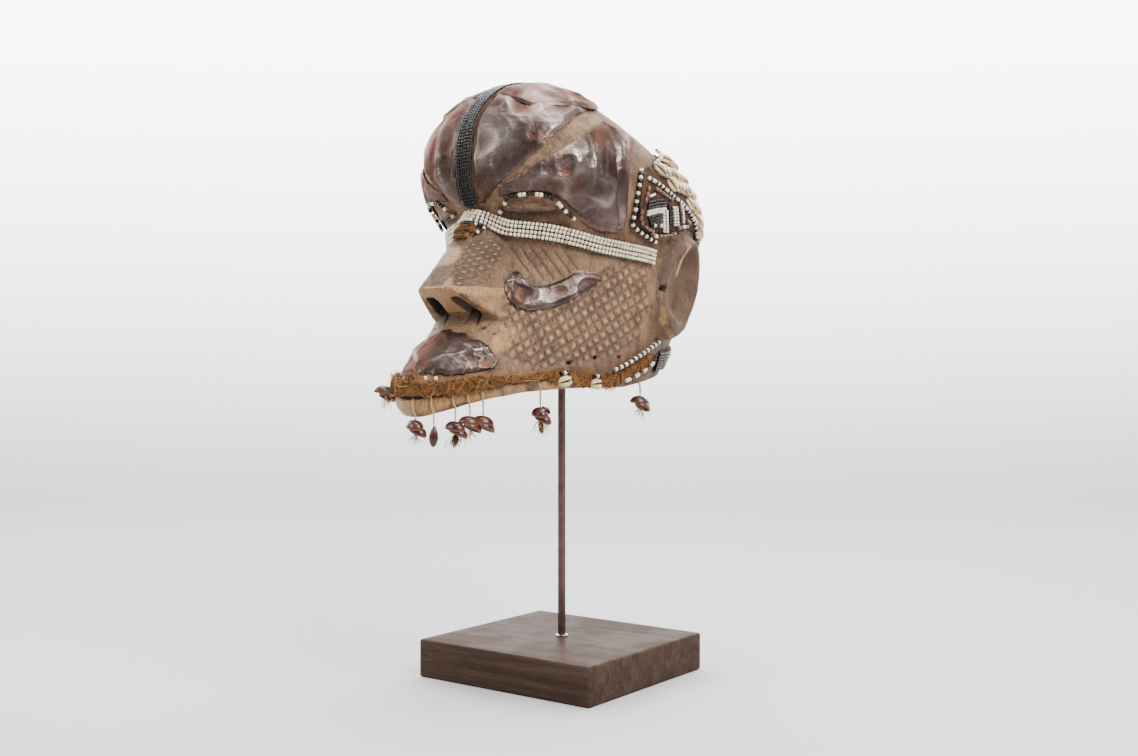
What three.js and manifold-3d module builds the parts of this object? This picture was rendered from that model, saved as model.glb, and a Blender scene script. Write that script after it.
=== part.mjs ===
// A Kuba bwoom helmet mask on its display stand: a hollow carved head with sheet copper, bead bands,
// a cowrie cloth and seed pendants, held up by a thin rod on a wooden plinth.
// Millimetres, +Z up. The origin is the centre of the plinth's underside and the mask faces -Y.
import * as THREE from 'three';
import { mergeVertices } from 'three/addons/utils/BufferGeometryUtils.js';
import Module from 'manifold-3d';

const wasm = await Module();
wasm.setup();

// The stand
const PLINTH_WIDTH = 214;
const PLINTH_DEPTH = 200;
const PLINTH_HEIGHT = 38.4;
const PLINTH_EDGE = 2;
const ROD_SIDE = 6;
const ROD_SOCKET_DEPTH = 16;
const ROD_REST_SIDE = 26;
const ROD_REST_THICKNESS = 3;
const COLLAR_RADIUS = 6.5;
const COLLAR_HEIGHT = 1.4;
const GAP = 0.3;

// The carved head. MASK_LIFT is the free height from the plinth's top to the underside of the chin.
const MASK_LIFT = 231.6;
const MASK_HEIGHT = 322;
const MASK_WIDTH = 228;
const MASK_DEPTH = 382;
const WALL = 11;
const WALL_AT_RIM = 9;

// The nose is a wedge: a flat ridge that widens downwards, two flanks and a sloping underside.
const NOSE_ROOT_HEIGHT = 192;
const NOSE_TIP_HEIGHT = 116;
const NOSE_REACH = 50;
const NOSE_ROOT_HALF_WIDTH = 5;
const NOSE_TIP_HALF_WIDTH = 20;
const NOSE_FLANK_SLOPE = [1.2, 3.4];
const NOSE_FLANK_SPREAD = 17;
const NOSE_EDGE_EASE = 0.8;
const NOSE_ABOVE_ROOT = 4;
const NOSE_UNDERSIDE_SLOPE = 1.75;
const NOSTRIL_LENGTH = 31;
const NOSTRIL_WIDTH = 10;
const NOSTRIL_DEPTH = 14;
const NOSTRIL_TURN = 13;

// Each eye is a closed lens of lid over a slit.
const EYE_SPACING = 102;
const EYE_LENGTH = 44;
const EYE_OPENING = 14;
const EYE_HEIGHT = 192;
const EYE_SAG = 3.5;
const LID_RELIEF = 5;

// Each ear stands off the side of the head, with a thick outer roll and a hollow inside it.
const EAR_LENGTH = 114;
const EAR_WIDTH = 62;
const EAR_RELIEF = 17;
const EAR_BACK = 43.5;
const EAR_HEIGHT = 127;
const EAR_LEAN = Math.atan2(0.4, 0.916);
const EAR_HOLE = 7;
const LIP_ROLL = 3;
const ROOTED = 5;

// Sheet metal, bead bands, strings, cloth and fibre
const COPPER = 1.2;
const BLACK_BAND_WIDTH = 17;
const WHITE_BAND_WIDTH = 12.5;
const BEAD_BAND_THICKNESS = 2.4;
const BEAD_STRING = 3.6;
const CLOTH = 3;
const FIBRE_WIDTH = 14;
const FIBRE_THICKNESS = 6;
const COWRIE_LENGTH = 13;
const SEED_LENGTH = 15;
const PENDANT_CORD = 2;

const DEG = Math.PI / 180;
const CHIN_HEIGHT = PLINTH_HEIGHT + MASK_LIFT;

// Sections of the head from the crown to the rim. Heights are shares of MASK_HEIGHT above the chin,
// depths shares of MASK_DEPTH from the rod (front is negative), half width a share of MASK_WIDTH / 2.
// frontRound and backRound are superellipse powers, and droop pulls a section's middle up behind it.
const SECTIONS = [
  // front y, front z, back y, back z, half width, widest at, frontRound, backRound, droop
  [-0.152, 1.0, -0.141, 1.0, 0.018, 0.5, 2.0, 2.0, 1],
  [-0.249, 0.975, -0.031, 0.942, 0.455, 0.5, 2.0, 1.9, 1],
  [-0.327, 0.919, 0.126, 0.867, 0.715, 0.5, 2.2, 1.9, 1],
  [-0.380, 0.835, 0.270, 0.780, 0.908, 0.5, 2.35, 2.0, 1],
  [-0.395, 0.739, 0.368, 0.700, 0.991, 0.48, 2.35, 2.2, 1],
  [-0.385, 0.665, 0.411, 0.619, 1.0, 0.48, 2.3, 2.35, 1],
  [-0.353, 0.596, 0.421, 0.553, 0.974, 0.47, 1.95, 2.4, 1],
  [-0.340, 0.528, 0.419, 0.497, 0.947, 0.47, 1.8, 2.4, 1],
  [-0.359, 0.410, 0.406, 0.410, 0.939, 0.48, 1.75, 2.4, 1],
  [-0.424, 0.280, 0.380, 0.323, 0.930, 0.5, 1.7, 2.3, 1],
  [-0.518, 0.177, 0.346, 0.242, 0.912, 0.54, 1.6, 2.2, 1.3],
  [-0.579, 0.078, 0.314, 0.180, 0.886, 0.57, 1.7, 2.2, 2.2],
  [-0.579, 0.0, 0.293, 0.140, 0.860, 0.57, 1.75, 2.2, 4],
];

// Catmull-Rom through evenly spaced rows of numbers.
function through(rows, share) {
  const place = Math.min(Math.max(share, 0), 1) * (rows.length - 1);
  const i = Math.min(Math.floor(place), rows.length - 2);
  const f = place - i;
  const before = rows[Math.max(i - 1, 0)];
  const here = rows[i];
  const next = rows[i + 1];
  const after = rows[Math.min(i + 2, rows.length - 1)];
  return here.map((h, k) => 0.5 * (2 * h + (next[k] - before[k]) * f
    + (2 * before[k] - 5 * h + 4 * next[k] - after[k]) * f * f
    + (3 * h - before[k] - 3 * next[k] + after[k]) * f * f * f));
}

function smoothstep(low, high, value) {
  const t = Math.min(Math.max((value - low) / (high - low), 0), 1);
  return t * t * (3 - 2 * t);
}

// The plain head without carving. angle is 0 at the front and 90 at the +X side, share is 0 at the
// crown and 1 at the rim.
function plainPoint(angle, share) {
  const [yf, zf, yb, zb, w, k, frontRound, backRound, droop] = through(SECTIONS, share);
  const c = Math.cos(angle * DEG);
  const s = Math.sin(angle * DEG);
  const power = 2 / (c > 0 ? frontRound : backRound);
  const reach = Math.abs(c) ** power;
  const yc = yf + (yb - yf) * k;
  const zc = zf + (zb - zf) * k;
  return new THREE.Vector3(
    w * Math.sign(s) * Math.abs(s) ** power * MASK_WIDTH / 2,
    (c > 0 ? yc + (yf - yc) * reach : yc + (yb - yc) * reach) * MASK_DEPTH,
    (c > 0 ? zc + (zf - zc) * reach ** droop : zc + (zb - zc) * reach) * MASK_HEIGHT + CHIN_HEIGHT,
  );
}

// Outward normal of a surface function by small steps.
function normalOf(surface, angle, share) {
  const step = 0.004;
  const u = surface(angle + 0.4, share).sub(surface(angle - 0.4, share));
  const v = surface(angle, Math.min(share + step, 1)).sub(surface(angle, Math.max(share - step, 0)));
  return v.cross(u).normalize();
}

// The nose's front surface: the y of its ridge and flanks, or of its underside where that cuts them.
function noseY(x, z) {
  const height = z - CHIN_HEIGHT;
  const down = (NOSE_ROOT_HEIGHT - height) / (NOSE_ROOT_HEIGHT - NOSE_TIP_HEIGHT);
  const rootY = plainPoint(0, 0.5).y;
  const tipY = plainPoint(0, 0.7).y - NOSE_REACH;
  const slope = NOSE_FLANK_SLOPE[0] + (NOSE_FLANK_SLOPE[1] - NOSE_FLANK_SLOPE[0]) * Math.max(down, 0);
  const flank = rootY + (tipY - rootY) * down + slope * Math.max(Math.abs(x) - noseHalfWidth(z), 0);
  const underside = tipY + (NOSE_TIP_HEIGHT - height) * NOSE_UNDERSIDE_SLOPE;
  return Math.max(flank, underside);
}

function noseHalfWidth(z) {
  const down = (NOSE_ROOT_HEIGHT - z + CHIN_HEIGHT) / (NOSE_ROOT_HEIGHT - NOSE_TIP_HEIGHT);
  return NOSE_ROOT_HALF_WIDTH + (NOSE_TIP_HALF_WIDTH - NOSE_ROOT_HALF_WIDTH) * down;
}

// Relief of the eyelid: along runs -1 to 1 over its length, above 0 to 1 from the slit up.
function lidRelief(along, above) {
  const lens = Math.max(1 - along * along, 0);
  return LID_RELIEF * Math.sqrt(lens) * Math.sqrt(Math.max(1 - above * above, 0));
}

// Relief of an ear at shares of its half length and half width, a roll round a hollow.
function earRelief(long, across) {
  const r = Math.hypot(long, across);
  const outer = smoothstep(-0.75, 0.35, across);
  const roll = Math.exp(-(((r - 0.84) / 0.22) ** 2)) * (0.4 + 0.6 * outer);
  const inner = 0.5 * Math.exp(-(((across + 0.42) / 0.3) ** 2) - (((long - 0.35) / 0.5) ** 2));
  const lobe = 0.45 * Math.exp(-(((across + 0.15) / 0.5) ** 2) - (((long + 0.75) / 0.25) ** 2));
  return EAR_RELIEF * Math.min(0.2 + roll + inner + lobe, 1.05) * (1 - 0.35 * smoothstep(0.86, 1, r));
}

// The head with its nose bridge and rolled lower lip, which the trim is laid on.
function facePoint(angle, share) {
  const p = plainPoint(angle, share);
  const turn = Math.abs(((angle + 180) % 360 + 360) % 360 - 180);
  if (turn < 62) p.y = Math.min(p.y, noseY(p.x, p.z));
  return p.addScaledVector(normalOf(plainPoint, angle, share), lipRoll(turn, share));
}

function lipRoll(turn, share) {
  if (share < 0.93) return 0;
  return LIP_ROLL * Math.sin(Math.PI * (share - 0.93) / 0.07) * (1 - smoothstep(50, 80, turn));
}

// The place on the plain head where two coordinates, such as x and z, have given values.
function placeWhere(axes, goal, guess) {
  let [angle, share] = guess;
  const miss = (a, v) => axes.map((axis, i) => plainPoint(a, v)[axis] - goal[i]);
  for (let round = 0; round < 12; round += 1) {
    const [e, f] = miss(angle, share);
    const [ea, fa] = miss(angle + 0.1, share);
    const [ev, fv] = miss(angle, share + 0.001);
    const [a, b, c, d] = [(ea - e) / 0.1, (ev - e) / 0.001, (fa - f) / 0.1, (fv - f) / 0.001];
    const det = a * d - b * c;
    angle -= (d * e - b * f) / det;
    share -= (a * f - c * e) / det;
  }
  return [angle, share];
}

function onFace(angle, share, height) {
  return facePoint(angle, share).addScaledVector(normalOf(facePoint, angle, share), height);
}

// A surface point and its normal, for things laid over the face's larger forms.
function station(angle, share) {
  return { point: facePoint(angle, share), normal: normalOf(facePoint, angle, share) };
}

// The plain head with its lower lip, as the shell itself has it.
function lippedPoint(angle, share) {
  const turn = Math.abs(((angle + 180) % 360 + 360) % 360 - 180);
  return plainPoint(angle, share).addScaledVector(normalOf(plainPoint, angle, share), lipRoll(turn, share));
}

function meshFrom(points, faces) {
  const geometry = new THREE.BufferGeometry();
  const numbers = points.flatMap((p) => [p.x, p.y, p.z]);
  geometry.setAttribute('position', new THREE.Float32BufferAttribute(numbers, 3));
  geometry.setIndex(faces.flat());
  return geometry;
}

// The hollow head: outer rows down to the rim, then inner rows back up, with a point at each crown.
function shellGeometry(columns, outerShares, innerShares) {
  const points = [];
  const rows = [];
  const crown = plainPoint(0, 0).add(plainPoint(180, 0)).multiplyScalar(0.5);
  outerShares.forEach((share) => {
    rows.push(points.length);
    columns.forEach((angle) => points.push(lippedPoint(angle, share)));
  });
  innerShares.forEach((share) => {
    rows.push(points.length);
    const wall = share === 1 ? WALL_AT_RIM : WALL;
    columns.forEach((angle) => {
      const inward = normalOf(plainPoint, angle, share);
      if (share === 1) inward.setZ(0).normalize();
      points.push(plainPoint(angle, share).addScaledVector(inward, -wall));
    });
  });
  const faces = [];
  const n = columns.length;
  for (let r = 0; r < rows.length - 1; r += 1) {
    for (let c = 0; c < n; c += 1) {
      const a = rows[r] + c;
      const b = rows[r] + (c + 1) % n;
      const d = rows[r + 1] + c;
      const e = rows[r + 1] + (c + 1) % n;
      faces.push([a, d, b], [b, d, e]);
    }
  }
  const top = points.push(crown.clone()) - 1;
  const inside = points.push(crown.clone().setZ(crown.z - WALL)) - 1;
  for (let c = 0; c < n; c += 1) {
    faces.push([top, c, (c + 1) % n]);
    const last = rows[rows.length - 1];
    faces.push([inside, last + (c + 1) % n, last + c]);
  }
  return meshFrom(points, faces);
}

// A sheet laid on the face between two edges, each a list of [angle, share], low and high above it.
function sheetGeometry(left, right, across, along, low, high) {
  const points = [];
  [high, low].forEach((height) => {
    for (let j = 0; j <= along; j += 1) {
      const a = through(left, j / along);
      const b = through(right, j / along);
      for (let i = 0; i <= across; i += 1) {
        const f = i / across;
        points.push(onFace(a[0] + (b[0] - a[0]) * f, a[1] + (b[1] - a[1]) * f, height));
      }
    }
  });
  return slabFrom(points, across, along);
}

// Joins an upper and a lower grid of points into one closed slab that faces outwards.
function slabFrom(points, across, along) {
  const n = across + 1;
  const under = n * (along + 1);
  const faces = [];
  for (let j = 0; j < along; j += 1) {
    for (let i = 0; i < across; i += 1) {
      const a = j * n + i;
      const d = a + under;
      faces.push([a, a + n, a + 1], [a + 1, a + n, a + n + 1]);
      faces.push([d, d + 1, d + n], [d + 1, d + n + 1, d + n]);
    }
  }
  const wall = (a, b) => faces.push([a, b, a + under], [b, b + under, a + under]);
  for (let j = 0; j < along; j += 1) {
    wall((j + 1) * n, j * n);
    wall(j * n + across, (j + 1) * n + across);
  }
  for (let i = 0; i < across; i += 1) {
    wall(i, i + 1);
    wall(along * n + i + 1, along * n + i);
  }
  return outwards(meshFrom(points, faces));
}

// A run with a constant section along stations; the section lists [sideways, above the surface].
function runGeometry(stations, section) {
  const points = [];
  stations.forEach(({ point, normal }, i) => {
    const ahead = stations[Math.min(i + 1, stations.length - 1)].point;
    const behind = stations[Math.max(i - 1, 0)].point;
    const side = normal.clone().cross(ahead.clone().sub(behind)).normalize();
    section.forEach(([across, above]) => {
      points.push(point.clone().addScaledVector(side, across).addScaledVector(normal, above));
    });
  });
  const n = section.length;
  const faces = [];
  for (let j = 0; j < stations.length - 1; j += 1) {
    for (let i = 0; i < n; i += 1) {
      const a = j * n + i;
      const b = j * n + (i + 1) % n;
      faces.push([a, a + n, b], [b, a + n, b + n]);
    }
  }
  const last = (stations.length - 1) * n;
  for (let i = 1; i < n - 1; i += 1) {
    faces.push([0, i, i + 1]);
    faces.push([last, last + i + 1, last + i]);
  }
  return outwards(meshFrom(points, faces));
}

// Turns every face over if the closed mesh encloses a negative volume.
function outwards(geometry) {
  const p = geometry.getAttribute('position');
  const index = geometry.getIndex().array;
  const corner = (k) => new THREE.Vector3().fromBufferAttribute(p, index[k]);
  let volume = 0;
  for (let k = 0; k < index.length; k += 3) volume += corner(k).dot(corner(k + 1).cross(corner(k + 2)));
  if (volume < 0) {
    for (let k = 0; k < index.length; k += 3) [index[k + 1], index[k + 2]] = [index[k + 2], index[k + 1]];
  }
  return geometry;
}

function bandSection(width, low, thickness) {
  return [[-width / 2, low], [width / 2, low], [width / 2, low + thickness], [-width / 2, low + thickness]];
}

function roundSection(diameter, low, sides = 5) {
  return Array.from({ length: sides }, (_, i) => {
    const a = (i / sides) * 2 * Math.PI;
    return [Math.sin(a) * diameter / 2, low + diameter / 2 - Math.cos(a) * diameter / 2];
  });
}

// Stations evenly along a route, with each normal eased by its neighbours so that bends stay round.
function stationsAlong(route, count) {
  const stations = Array.from({ length: count + 1 }, (_, i) => station(...through(route, i / count)));
  return stations.map(({ point, normal }, i) => {
    const before = stations[Math.max(i - 1, 0)].normal;
    const after = stations[Math.min(i + 1, count)].normal;
    return { point, normal: normal.clone().multiplyScalar(2).add(before).add(after).normalize() };
  });
}

// Mirrors a closed geometry to the other side of the face.
function mirrored(geometry) {
  const copy = geometry.clone();
  copy.scale(-1, 1, 1);
  return outwards(copy);
}

function mirroredRoute(route) {
  return route.map(([angle, share]) => [-angle, share]);
}

function toSolid(geometry) {
  const bare = geometry.clone();
  bare.deleteAttribute('normal');
  bare.deleteAttribute('uv');
  const merged = mergeVertices(bare, 1e-4);
  return new wasm.Manifold(new wasm.Mesh({
    numProp: 3,
    vertProperties: new Float32Array(merged.getAttribute('position').array),
    triVerts: new Uint32Array(merged.getIndex().array),
  }));
}

function fromSolid(solid) {
  const { vertProperties, triVerts } = solid.getMesh();
  const geometry = new THREE.BufferGeometry();
  geometry.setAttribute('position', new THREE.Float32BufferAttribute(vertProperties, 3));
  geometry.setIndex(Array.from(triVerts));
  return geometry;
}

function joined(geometries) {
  return fromSolid(geometries.map(toSolid).reduce((whole, next) => whole.add(next)));
}

const group = new THREE.Group();

const wood = new THREE.MeshStandardMaterial({ color: 0x6b4a30, roughness: 0.65 });
const darkWood = new THREE.MeshStandardMaterial({ color: 0x3d2416, roughness: 0.45 });
const copper = new THREE.MeshStandardMaterial({ color: 0x5a4440, roughness: 0.4, metalness: 0.9 });
const iron = new THREE.MeshStandardMaterial({ color: 0x3a2a22, roughness: 0.5, metalness: 0.8 });
const blackBead = new THREE.MeshStandardMaterial({ color: 0x161412, roughness: 0.3 });
const whiteBead = new THREE.MeshStandardMaterial({ color: 0xe6dfcc, roughness: 0.35 });
const cloth = new THREE.MeshStandardMaterial({ color: 0x4a3226, roughness: 0.9 });
const fibre = new THREE.MeshStandardMaterial({ color: 0x9a6a38, roughness: 0.95 });
const shell = new THREE.MeshStandardMaterial({ color: 0xd8c8a0, roughness: 0.4 });
const seed = new THREE.MeshStandardMaterial({ color: 0x4a2418, roughness: 0.25 });

function place(name, geometry, material) {
  const mesh = new THREE.Mesh(geometry, material);
  mesh.name = name;
  group.add(mesh);
  return mesh;
}

// The plinth: a block with eased edges and a square socket that the rod stands in.
function plinthGeometry() {
  const w = PLINTH_WIDTH / 2 - PLINTH_EDGE;
  const d = PLINTH_DEPTH / 2 - PLINTH_EDGE;
  const corners = [[-w, -d], [w, -d], [w, d], [-w, d]];
  const outline = new THREE.Shape(corners.map(([x, y]) => new THREE.Vector2(x, y)));
  const block = new THREE.ExtrudeGeometry(outline, {
    depth: PLINTH_HEIGHT - 2 * PLINTH_EDGE,
    bevelSize: PLINTH_EDGE,
    bevelThickness: PLINTH_EDGE,
    bevelSegments: 2,
  });
  block.translate(0, 0, PLINTH_EDGE);
  const side = ROD_SIDE + 2 * GAP;
  const socket = new THREE.BoxGeometry(side, side, 2 * ROD_SOCKET_DEPTH);
  socket.translate(0, 0, PLINTH_HEIGHT);
  return fromSolid(toSolid(block).subtract(toSolid(socket)));
}

// The rod with the small rest welded on its top, just under the inside of the crown.
function rodGeometry(top) {
  const foot = PLINTH_HEIGHT - ROD_SOCKET_DEPTH + GAP;
  const bar = new THREE.BoxGeometry(ROD_SIDE, ROD_SIDE, top - foot);
  bar.translate(0, 0, (top + foot) / 2);
  const rest = new THREE.BoxGeometry(ROD_REST_SIDE, ROD_REST_SIDE, ROD_REST_THICKNESS);
  rest.translate(0, 0, top - ROD_REST_THICKNESS / 2);
  return joined([bar, rest]);
}

function collarGeometry() {
  const inner = ROD_SIDE * Math.SQRT1_2 + GAP;
  const low = PLINTH_HEIGHT + GAP;
  const high = low + COLLAR_HEIGHT;
  const profile = [[inner, low], [COLLAR_RADIUS, low], [COLLAR_RADIUS, high], [inner, high], [inner, low]];
  const ring = new THREE.LatheGeometry(profile.map(([r, y]) => new THREE.Vector2(r, y)), 12);
  ring.rotateX(Math.PI / 2);
  return outwards(mergeVertices(stripped(ring), 1e-4));
}

function stripped(geometry) {
  geometry.deleteAttribute('normal');
  geometry.deleteAttribute('uv');
  return geometry;
}

// Lowest height of the inside of the crown over a square of this side round the rod.
function insideHeight(side) {
  let lowest = Infinity;
  for (let share = 0.02; share < 0.4; share += 0.01) {
    for (let angle = 0; angle < 360; angle += 6) {
      const p = plainPoint(angle, share).addScaledVector(normalOf(plainPoint, angle, share), -WALL);
      if (Math.max(Math.abs(p.x), Math.abs(p.y)) < side * 0.62) lowest = Math.min(lowest, p.z);
    }
  }
  return lowest;
}

// The nose: a grid of its front surface, closed by the same grid sunk into the face.
function noseGeometry() {
  const across = [-2.4, -1.8, -1.35, -1.1, -0.85, 0, 0.85, 1.1, 1.35, 1.8, 2.4];
  const heights = [0, 0.15, 0.35, 0.6, 0.85, 0.97, 1, 1.06, 1.14, 1.24, 1.32];
  const top = CHIN_HEIGHT + NOSE_ROOT_HEIGHT + NOSE_ABOVE_ROOT;
  const span = NOSE_ROOT_HEIGHT - NOSE_TIP_HEIGHT + NOSE_ABOVE_ROOT;
  const front = [];
  const back = [];
  heights.forEach((down) => {
    const z = top - down * span;
    const half = Math.min(noseHalfWidth(z), NOSE_TIP_HALF_WIDTH * 1.12);
    across.forEach((share) => {
      const side = Math.abs(share);
      const x = Math.sign(share) * (half * Math.min(side, 1) + Math.max(side - 1, 0) * NOSE_FLANK_SPREAD);
      const place = placeWhere(['x', 'z'], [x, z], [x, 0.6]);
      const face = plainPoint(...place).y;
      const rounded = side > 0.7 && side < 1.3 ? NOSE_EDGE_EASE : 0;
      front.push(new THREE.Vector3(x, Math.min(noseY(x, z) + rounded, face + ROOTED / 2), z));
      back.push(new THREE.Vector3(x, face + ROOTED + 1, z));
    });
  });
  return slabFrom([...front, ...back], across.length - 1, heights.length - 1);
}

// An eyelid: a pillow over the slit, sunk into the face.
function lidGeometry() {
  const along = 8;
  const up = 4;
  const outer = [];
  const inner = [];
  for (let j = 0; j <= up; j += 1) {
    for (let i = 0; i <= along; i += 1) {
      const u = (2 * i) / along - 1;
      const lens = Math.max(1 - u * u, 0.06);
      const x = EYE_SPACING / 2 + u * EYE_LENGTH / 2;
      const z = CHIN_HEIGHT + EYE_HEIGHT + EYE_OPENING * lens * (j / up) - EYE_SAG * lens;
      const place = placeWhere(['x', 'z'], [x, z], [25, 0.48]);
      const normal = normalOf(plainPoint, ...place);
      const relief = Math.max(lidRelief(u * 0.97, 0.97 * j / up), 0.5);
      outer.push(plainPoint(...place).addScaledVector(normal, relief));
      inner.push(plainPoint(...place).addScaledVector(normal, -ROOTED));
    }
  }
  return slabFrom([...outer, ...inner], along, up);
}

// An ear: rings of its relief from the middle out, closed by a ring sunk into the head.
function earGeometry() {
  const around = 20;
  const rings = [0.35, 0.6, 0.78, 0.9, 1];
  const spot = (long, across) => {
    const [u, v] = [long * EAR_LENGTH / 2, across * EAR_WIDTH / 2];
    const y = EAR_BACK + u * Math.sin(EAR_LEAN) + v * Math.cos(EAR_LEAN);
    const rise = u * Math.cos(EAR_LEAN) - v * Math.sin(EAR_LEAN);
    return placeWhere(['y', 'z'], [y, CHIN_HEIGHT + EAR_HEIGHT + rise], [100, 0.65]);
  };
  const points = [];
  const lifted = (long, across, height) => {
    const place = spot(long, across);
    return plainPoint(...place).addScaledVector(normalOf(plainPoint, ...place), height);
  };
  [...rings, -1].forEach((ring) => {
    for (let i = 0; i < around; i += 1) {
      const a = (i / around) * 2 * Math.PI;
      const long = Math.cos(a) * Math.abs(ring);
      const across = Math.sin(a) * Math.abs(ring);
      points.push(lifted(long, across, ring < 0 ? -ROOTED : earRelief(long, across)));
    }
  });
  const middle = points.push(lifted(0, 0, earRelief(0, 0))) - 1;
  const root = points.push(lifted(0, 0, -ROOTED)) - 1;
  const faces = [];
  for (let r = 0; r < rings.length; r += 1) {
    for (let i = 0; i < around; i += 1) {
      const a = r * around + i;
      const b = r * around + (i + 1) % around;
      faces.push([a, a + around, b], [b, a + around, b + around]);
      if (r === 0) faces.push([middle, a, b]);
      if (r === rings.length - 1) faces.push([root, b + around, a + around]);
    }
  }
  return outwards(meshFrom(points, faces));
}

// A nostril: a slot cut into the nose from its underside, turned out a little towards the lip.
function nostrilGeometry(side) {
  const proud = 2.5;
  const slot = new THREE.BoxGeometry(NOSTRIL_WIDTH, NOSTRIL_LENGTH, NOSTRIL_DEPTH + proud);
  slot.translate(0, 0, (NOSTRIL_DEPTH - proud) / 2);
  slot.rotateX(-Math.atan2(1, NOSE_UNDERSIDE_SLOPE));
  slot.rotateZ(-side * NOSTRIL_TURN * DEG);
  const z = CHIN_HEIGHT + NOSE_TIP_HEIGHT - NOSTRIL_LENGTH / 2;
  slot.translate(side * NOSE_TIP_HALF_WIDTH * 0.88, noseY(0, z), z);
  return slot;
}

// The hole drilled through the head in front of each ear.
function drillGeometry(side) {
  const drill = new THREE.CylinderGeometry(EAR_HOLE / 2, EAR_HOLE / 2, 3 * WALL, 8);
  drill.rotateZ(Math.PI / 2);
  const mouth = plainPoint(side * 93.5, 0.688);
  drill.translate(mouth.x - side * WALL / 2, mouth.y, mouth.z);
  return drill;
}

const COLUMNS = Array.from({ length: 46 }, (_, i) => (i * 360) / 46);
const OUTER_ROWS = [0.04, 0.09, 0.14, 0.2, 0.26, 0.32, 0.38, 0.44, 0.49, 0.54, 0.6, 0.67, 0.74, 0.8, 0.86,
  0.91, 0.935, 0.965, 1];
const INNER_ROWS = [1, 0.9, 0.76, 0.6, 0.44, 0.28, 0.14, 0.05];

const ear = earGeometry();
const lid = lidGeometry();
const additions = [noseGeometry(), ear, mirrored(ear), lid, mirrored(lid)];
const cuts = [-1, 1].flatMap((side) => [nostrilGeometry(side), drillGeometry(side)]);
const head = additions.reduce((whole, piece) => whole.add(toSolid(piece)),
  toSolid(outwards(shellGeometry(COLUMNS, OUTER_ROWS, INNER_ROWS))));
const carved = cuts.reduce((whole, cut) => whole.subtract(toSolid(cut)), head);

place('plinth', plinthGeometry(), darkWood);
place('rod', rodGeometry(insideHeight(ROD_REST_SIDE) - GAP), iron);
place('rod_collar', collarGeometry(), iron);
place('mask', fromSolid(carved), wood);

// Share at which the front of the plain head has this height above the chin.
function frontShare(height) {
  let [low, high] = [0.2, 0.95];
  for (let round = 0; round < 30; round += 1) {
    const middle = (low + high) / 2;
    if (plainPoint(0, middle).z - CHIN_HEIGHT > height) low = middle;
    else high = middle;
  }
  return low;
}

// The bands, the tie and the ends of the centre sheets meet at the nose bridge, just under its root.
const LAID = 2;
const BLACK_BAND_LIFT = 0.4;
const WHITE_BAND_LIFT = 3;
const CLOTH_LIFT = 0.8;
const BAND_BELOW_ROOT = 7.2;
const BRIDGE = frontShare(NOSE_ROOT_HEIGHT - BAND_BELOW_ROOT);

// Copper sheets nailed to the forehead and temples; each edge runs from the nose upwards and back.
const CENTRE_SHEET = {
  inner: [[6, BRIDGE - 0.062], [5.5, 0.4], [5, 0.33], [5, 0.27], [6.5, 0.21], [9, 0.155],
    [14, 0.11], [28, 0.065]],
  outer: [[8, BRIDGE - 0.068], [17, 0.402], [27, 0.35], [38, 0.3], [49, 0.25], [60, 0.208], [76, 0.168],
    [100, 0.13]],
};
const TEMPLE_SHEET = {
  inner: [[15, 0.423], [24, 0.39], [35, 0.348], [49, 0.3], [64, 0.243], [78, 0.205]],
  outer: [[15, 0.438], [26, 0.426], [40, 0.43], [49, 0.475], [57, 0.54], [66.5, 0.554]],
};
const TEMPLE_STRIP = {
  inner: [[79.5, 0.205], [76.3, 0.304], [72.6, 0.431], [68, 0.553]],
  outer: [[92, 0.235], [81.5, 0.31], [75, 0.431], [69.5, 0.535]],
};
const CHEEK_LEAF = {
  inner: [[22.5, 0.664], [26.5, 0.664], [32, 0.686], [38, 0.69], [44, 0.678], [50, 0.659], [56, 0.662],
    [61, 0.672]],
  outer: [[22.5, 0.682], [24, 0.702], [27, 0.721], [34, 0.736], [42, 0.735], [50, 0.718], [57, 0.695],
    [61, 0.678]],
};
const LIP_SHEET = {
  inner: [[-36, 0.875], [-28, 0.825], [-14, 0.79], [0, 0.778], [14, 0.79], [28, 0.82], [36, 0.865]],
  outer: [[-36, 0.882], [-26, 0.889], [-12, 0.884], [0, 0.88], [14, 0.884], [27, 0.889], [36, 0.88]],
};

function copperSheet(outline, across, along, side = 1) {
  const sheet = sheetGeometry(outline.inner, outline.outer, across, along, LAID, LAID + COPPER);
  return side > 0 ? sheet : mirrored(sheet);
}

[['near', 1], ['far', -1]].forEach(([which, side]) => {
  place(`centre_sheet_${which}`, copperSheet(CENTRE_SHEET, 4, 10, side), copper);
  place(`temple_sheet_${which}`, copperSheet(TEMPLE_SHEET, 6, 8, side), copper);
  place(`temple_strip_${which}`, copperSheet(TEMPLE_STRIP, 1, 6, side), copper);
  place(`cheek_leaf_${which}`, copperSheet(CHEEK_LEAF, 2, 8, side), copper);
});
place('lip_sheet', copperSheet(LIP_SHEET, 4, 12), copper);

// The black band climbs from the nose bridge over the crown to the cloth behind it.
const BLACK_BAND = { from: BRIDGE - 0.055, to: -0.165, steps: 17 };
const blackStations = Array.from({ length: BLACK_BAND.steps + 1 }, (_, i) => {
  const reach = BLACK_BAND.from + (BLACK_BAND.to - BLACK_BAND.from) * (i / BLACK_BAND.steps);
  return station(reach > 0 ? 0 : 180, Math.max(Math.abs(reach), 0.02));
});
place('black_band', runGeometry(blackStations, bandSection(BLACK_BAND_WIDTH, LAID + BLACK_BAND_LIFT,
  BEAD_BAND_THICKNESS)), blackBead);

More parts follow.
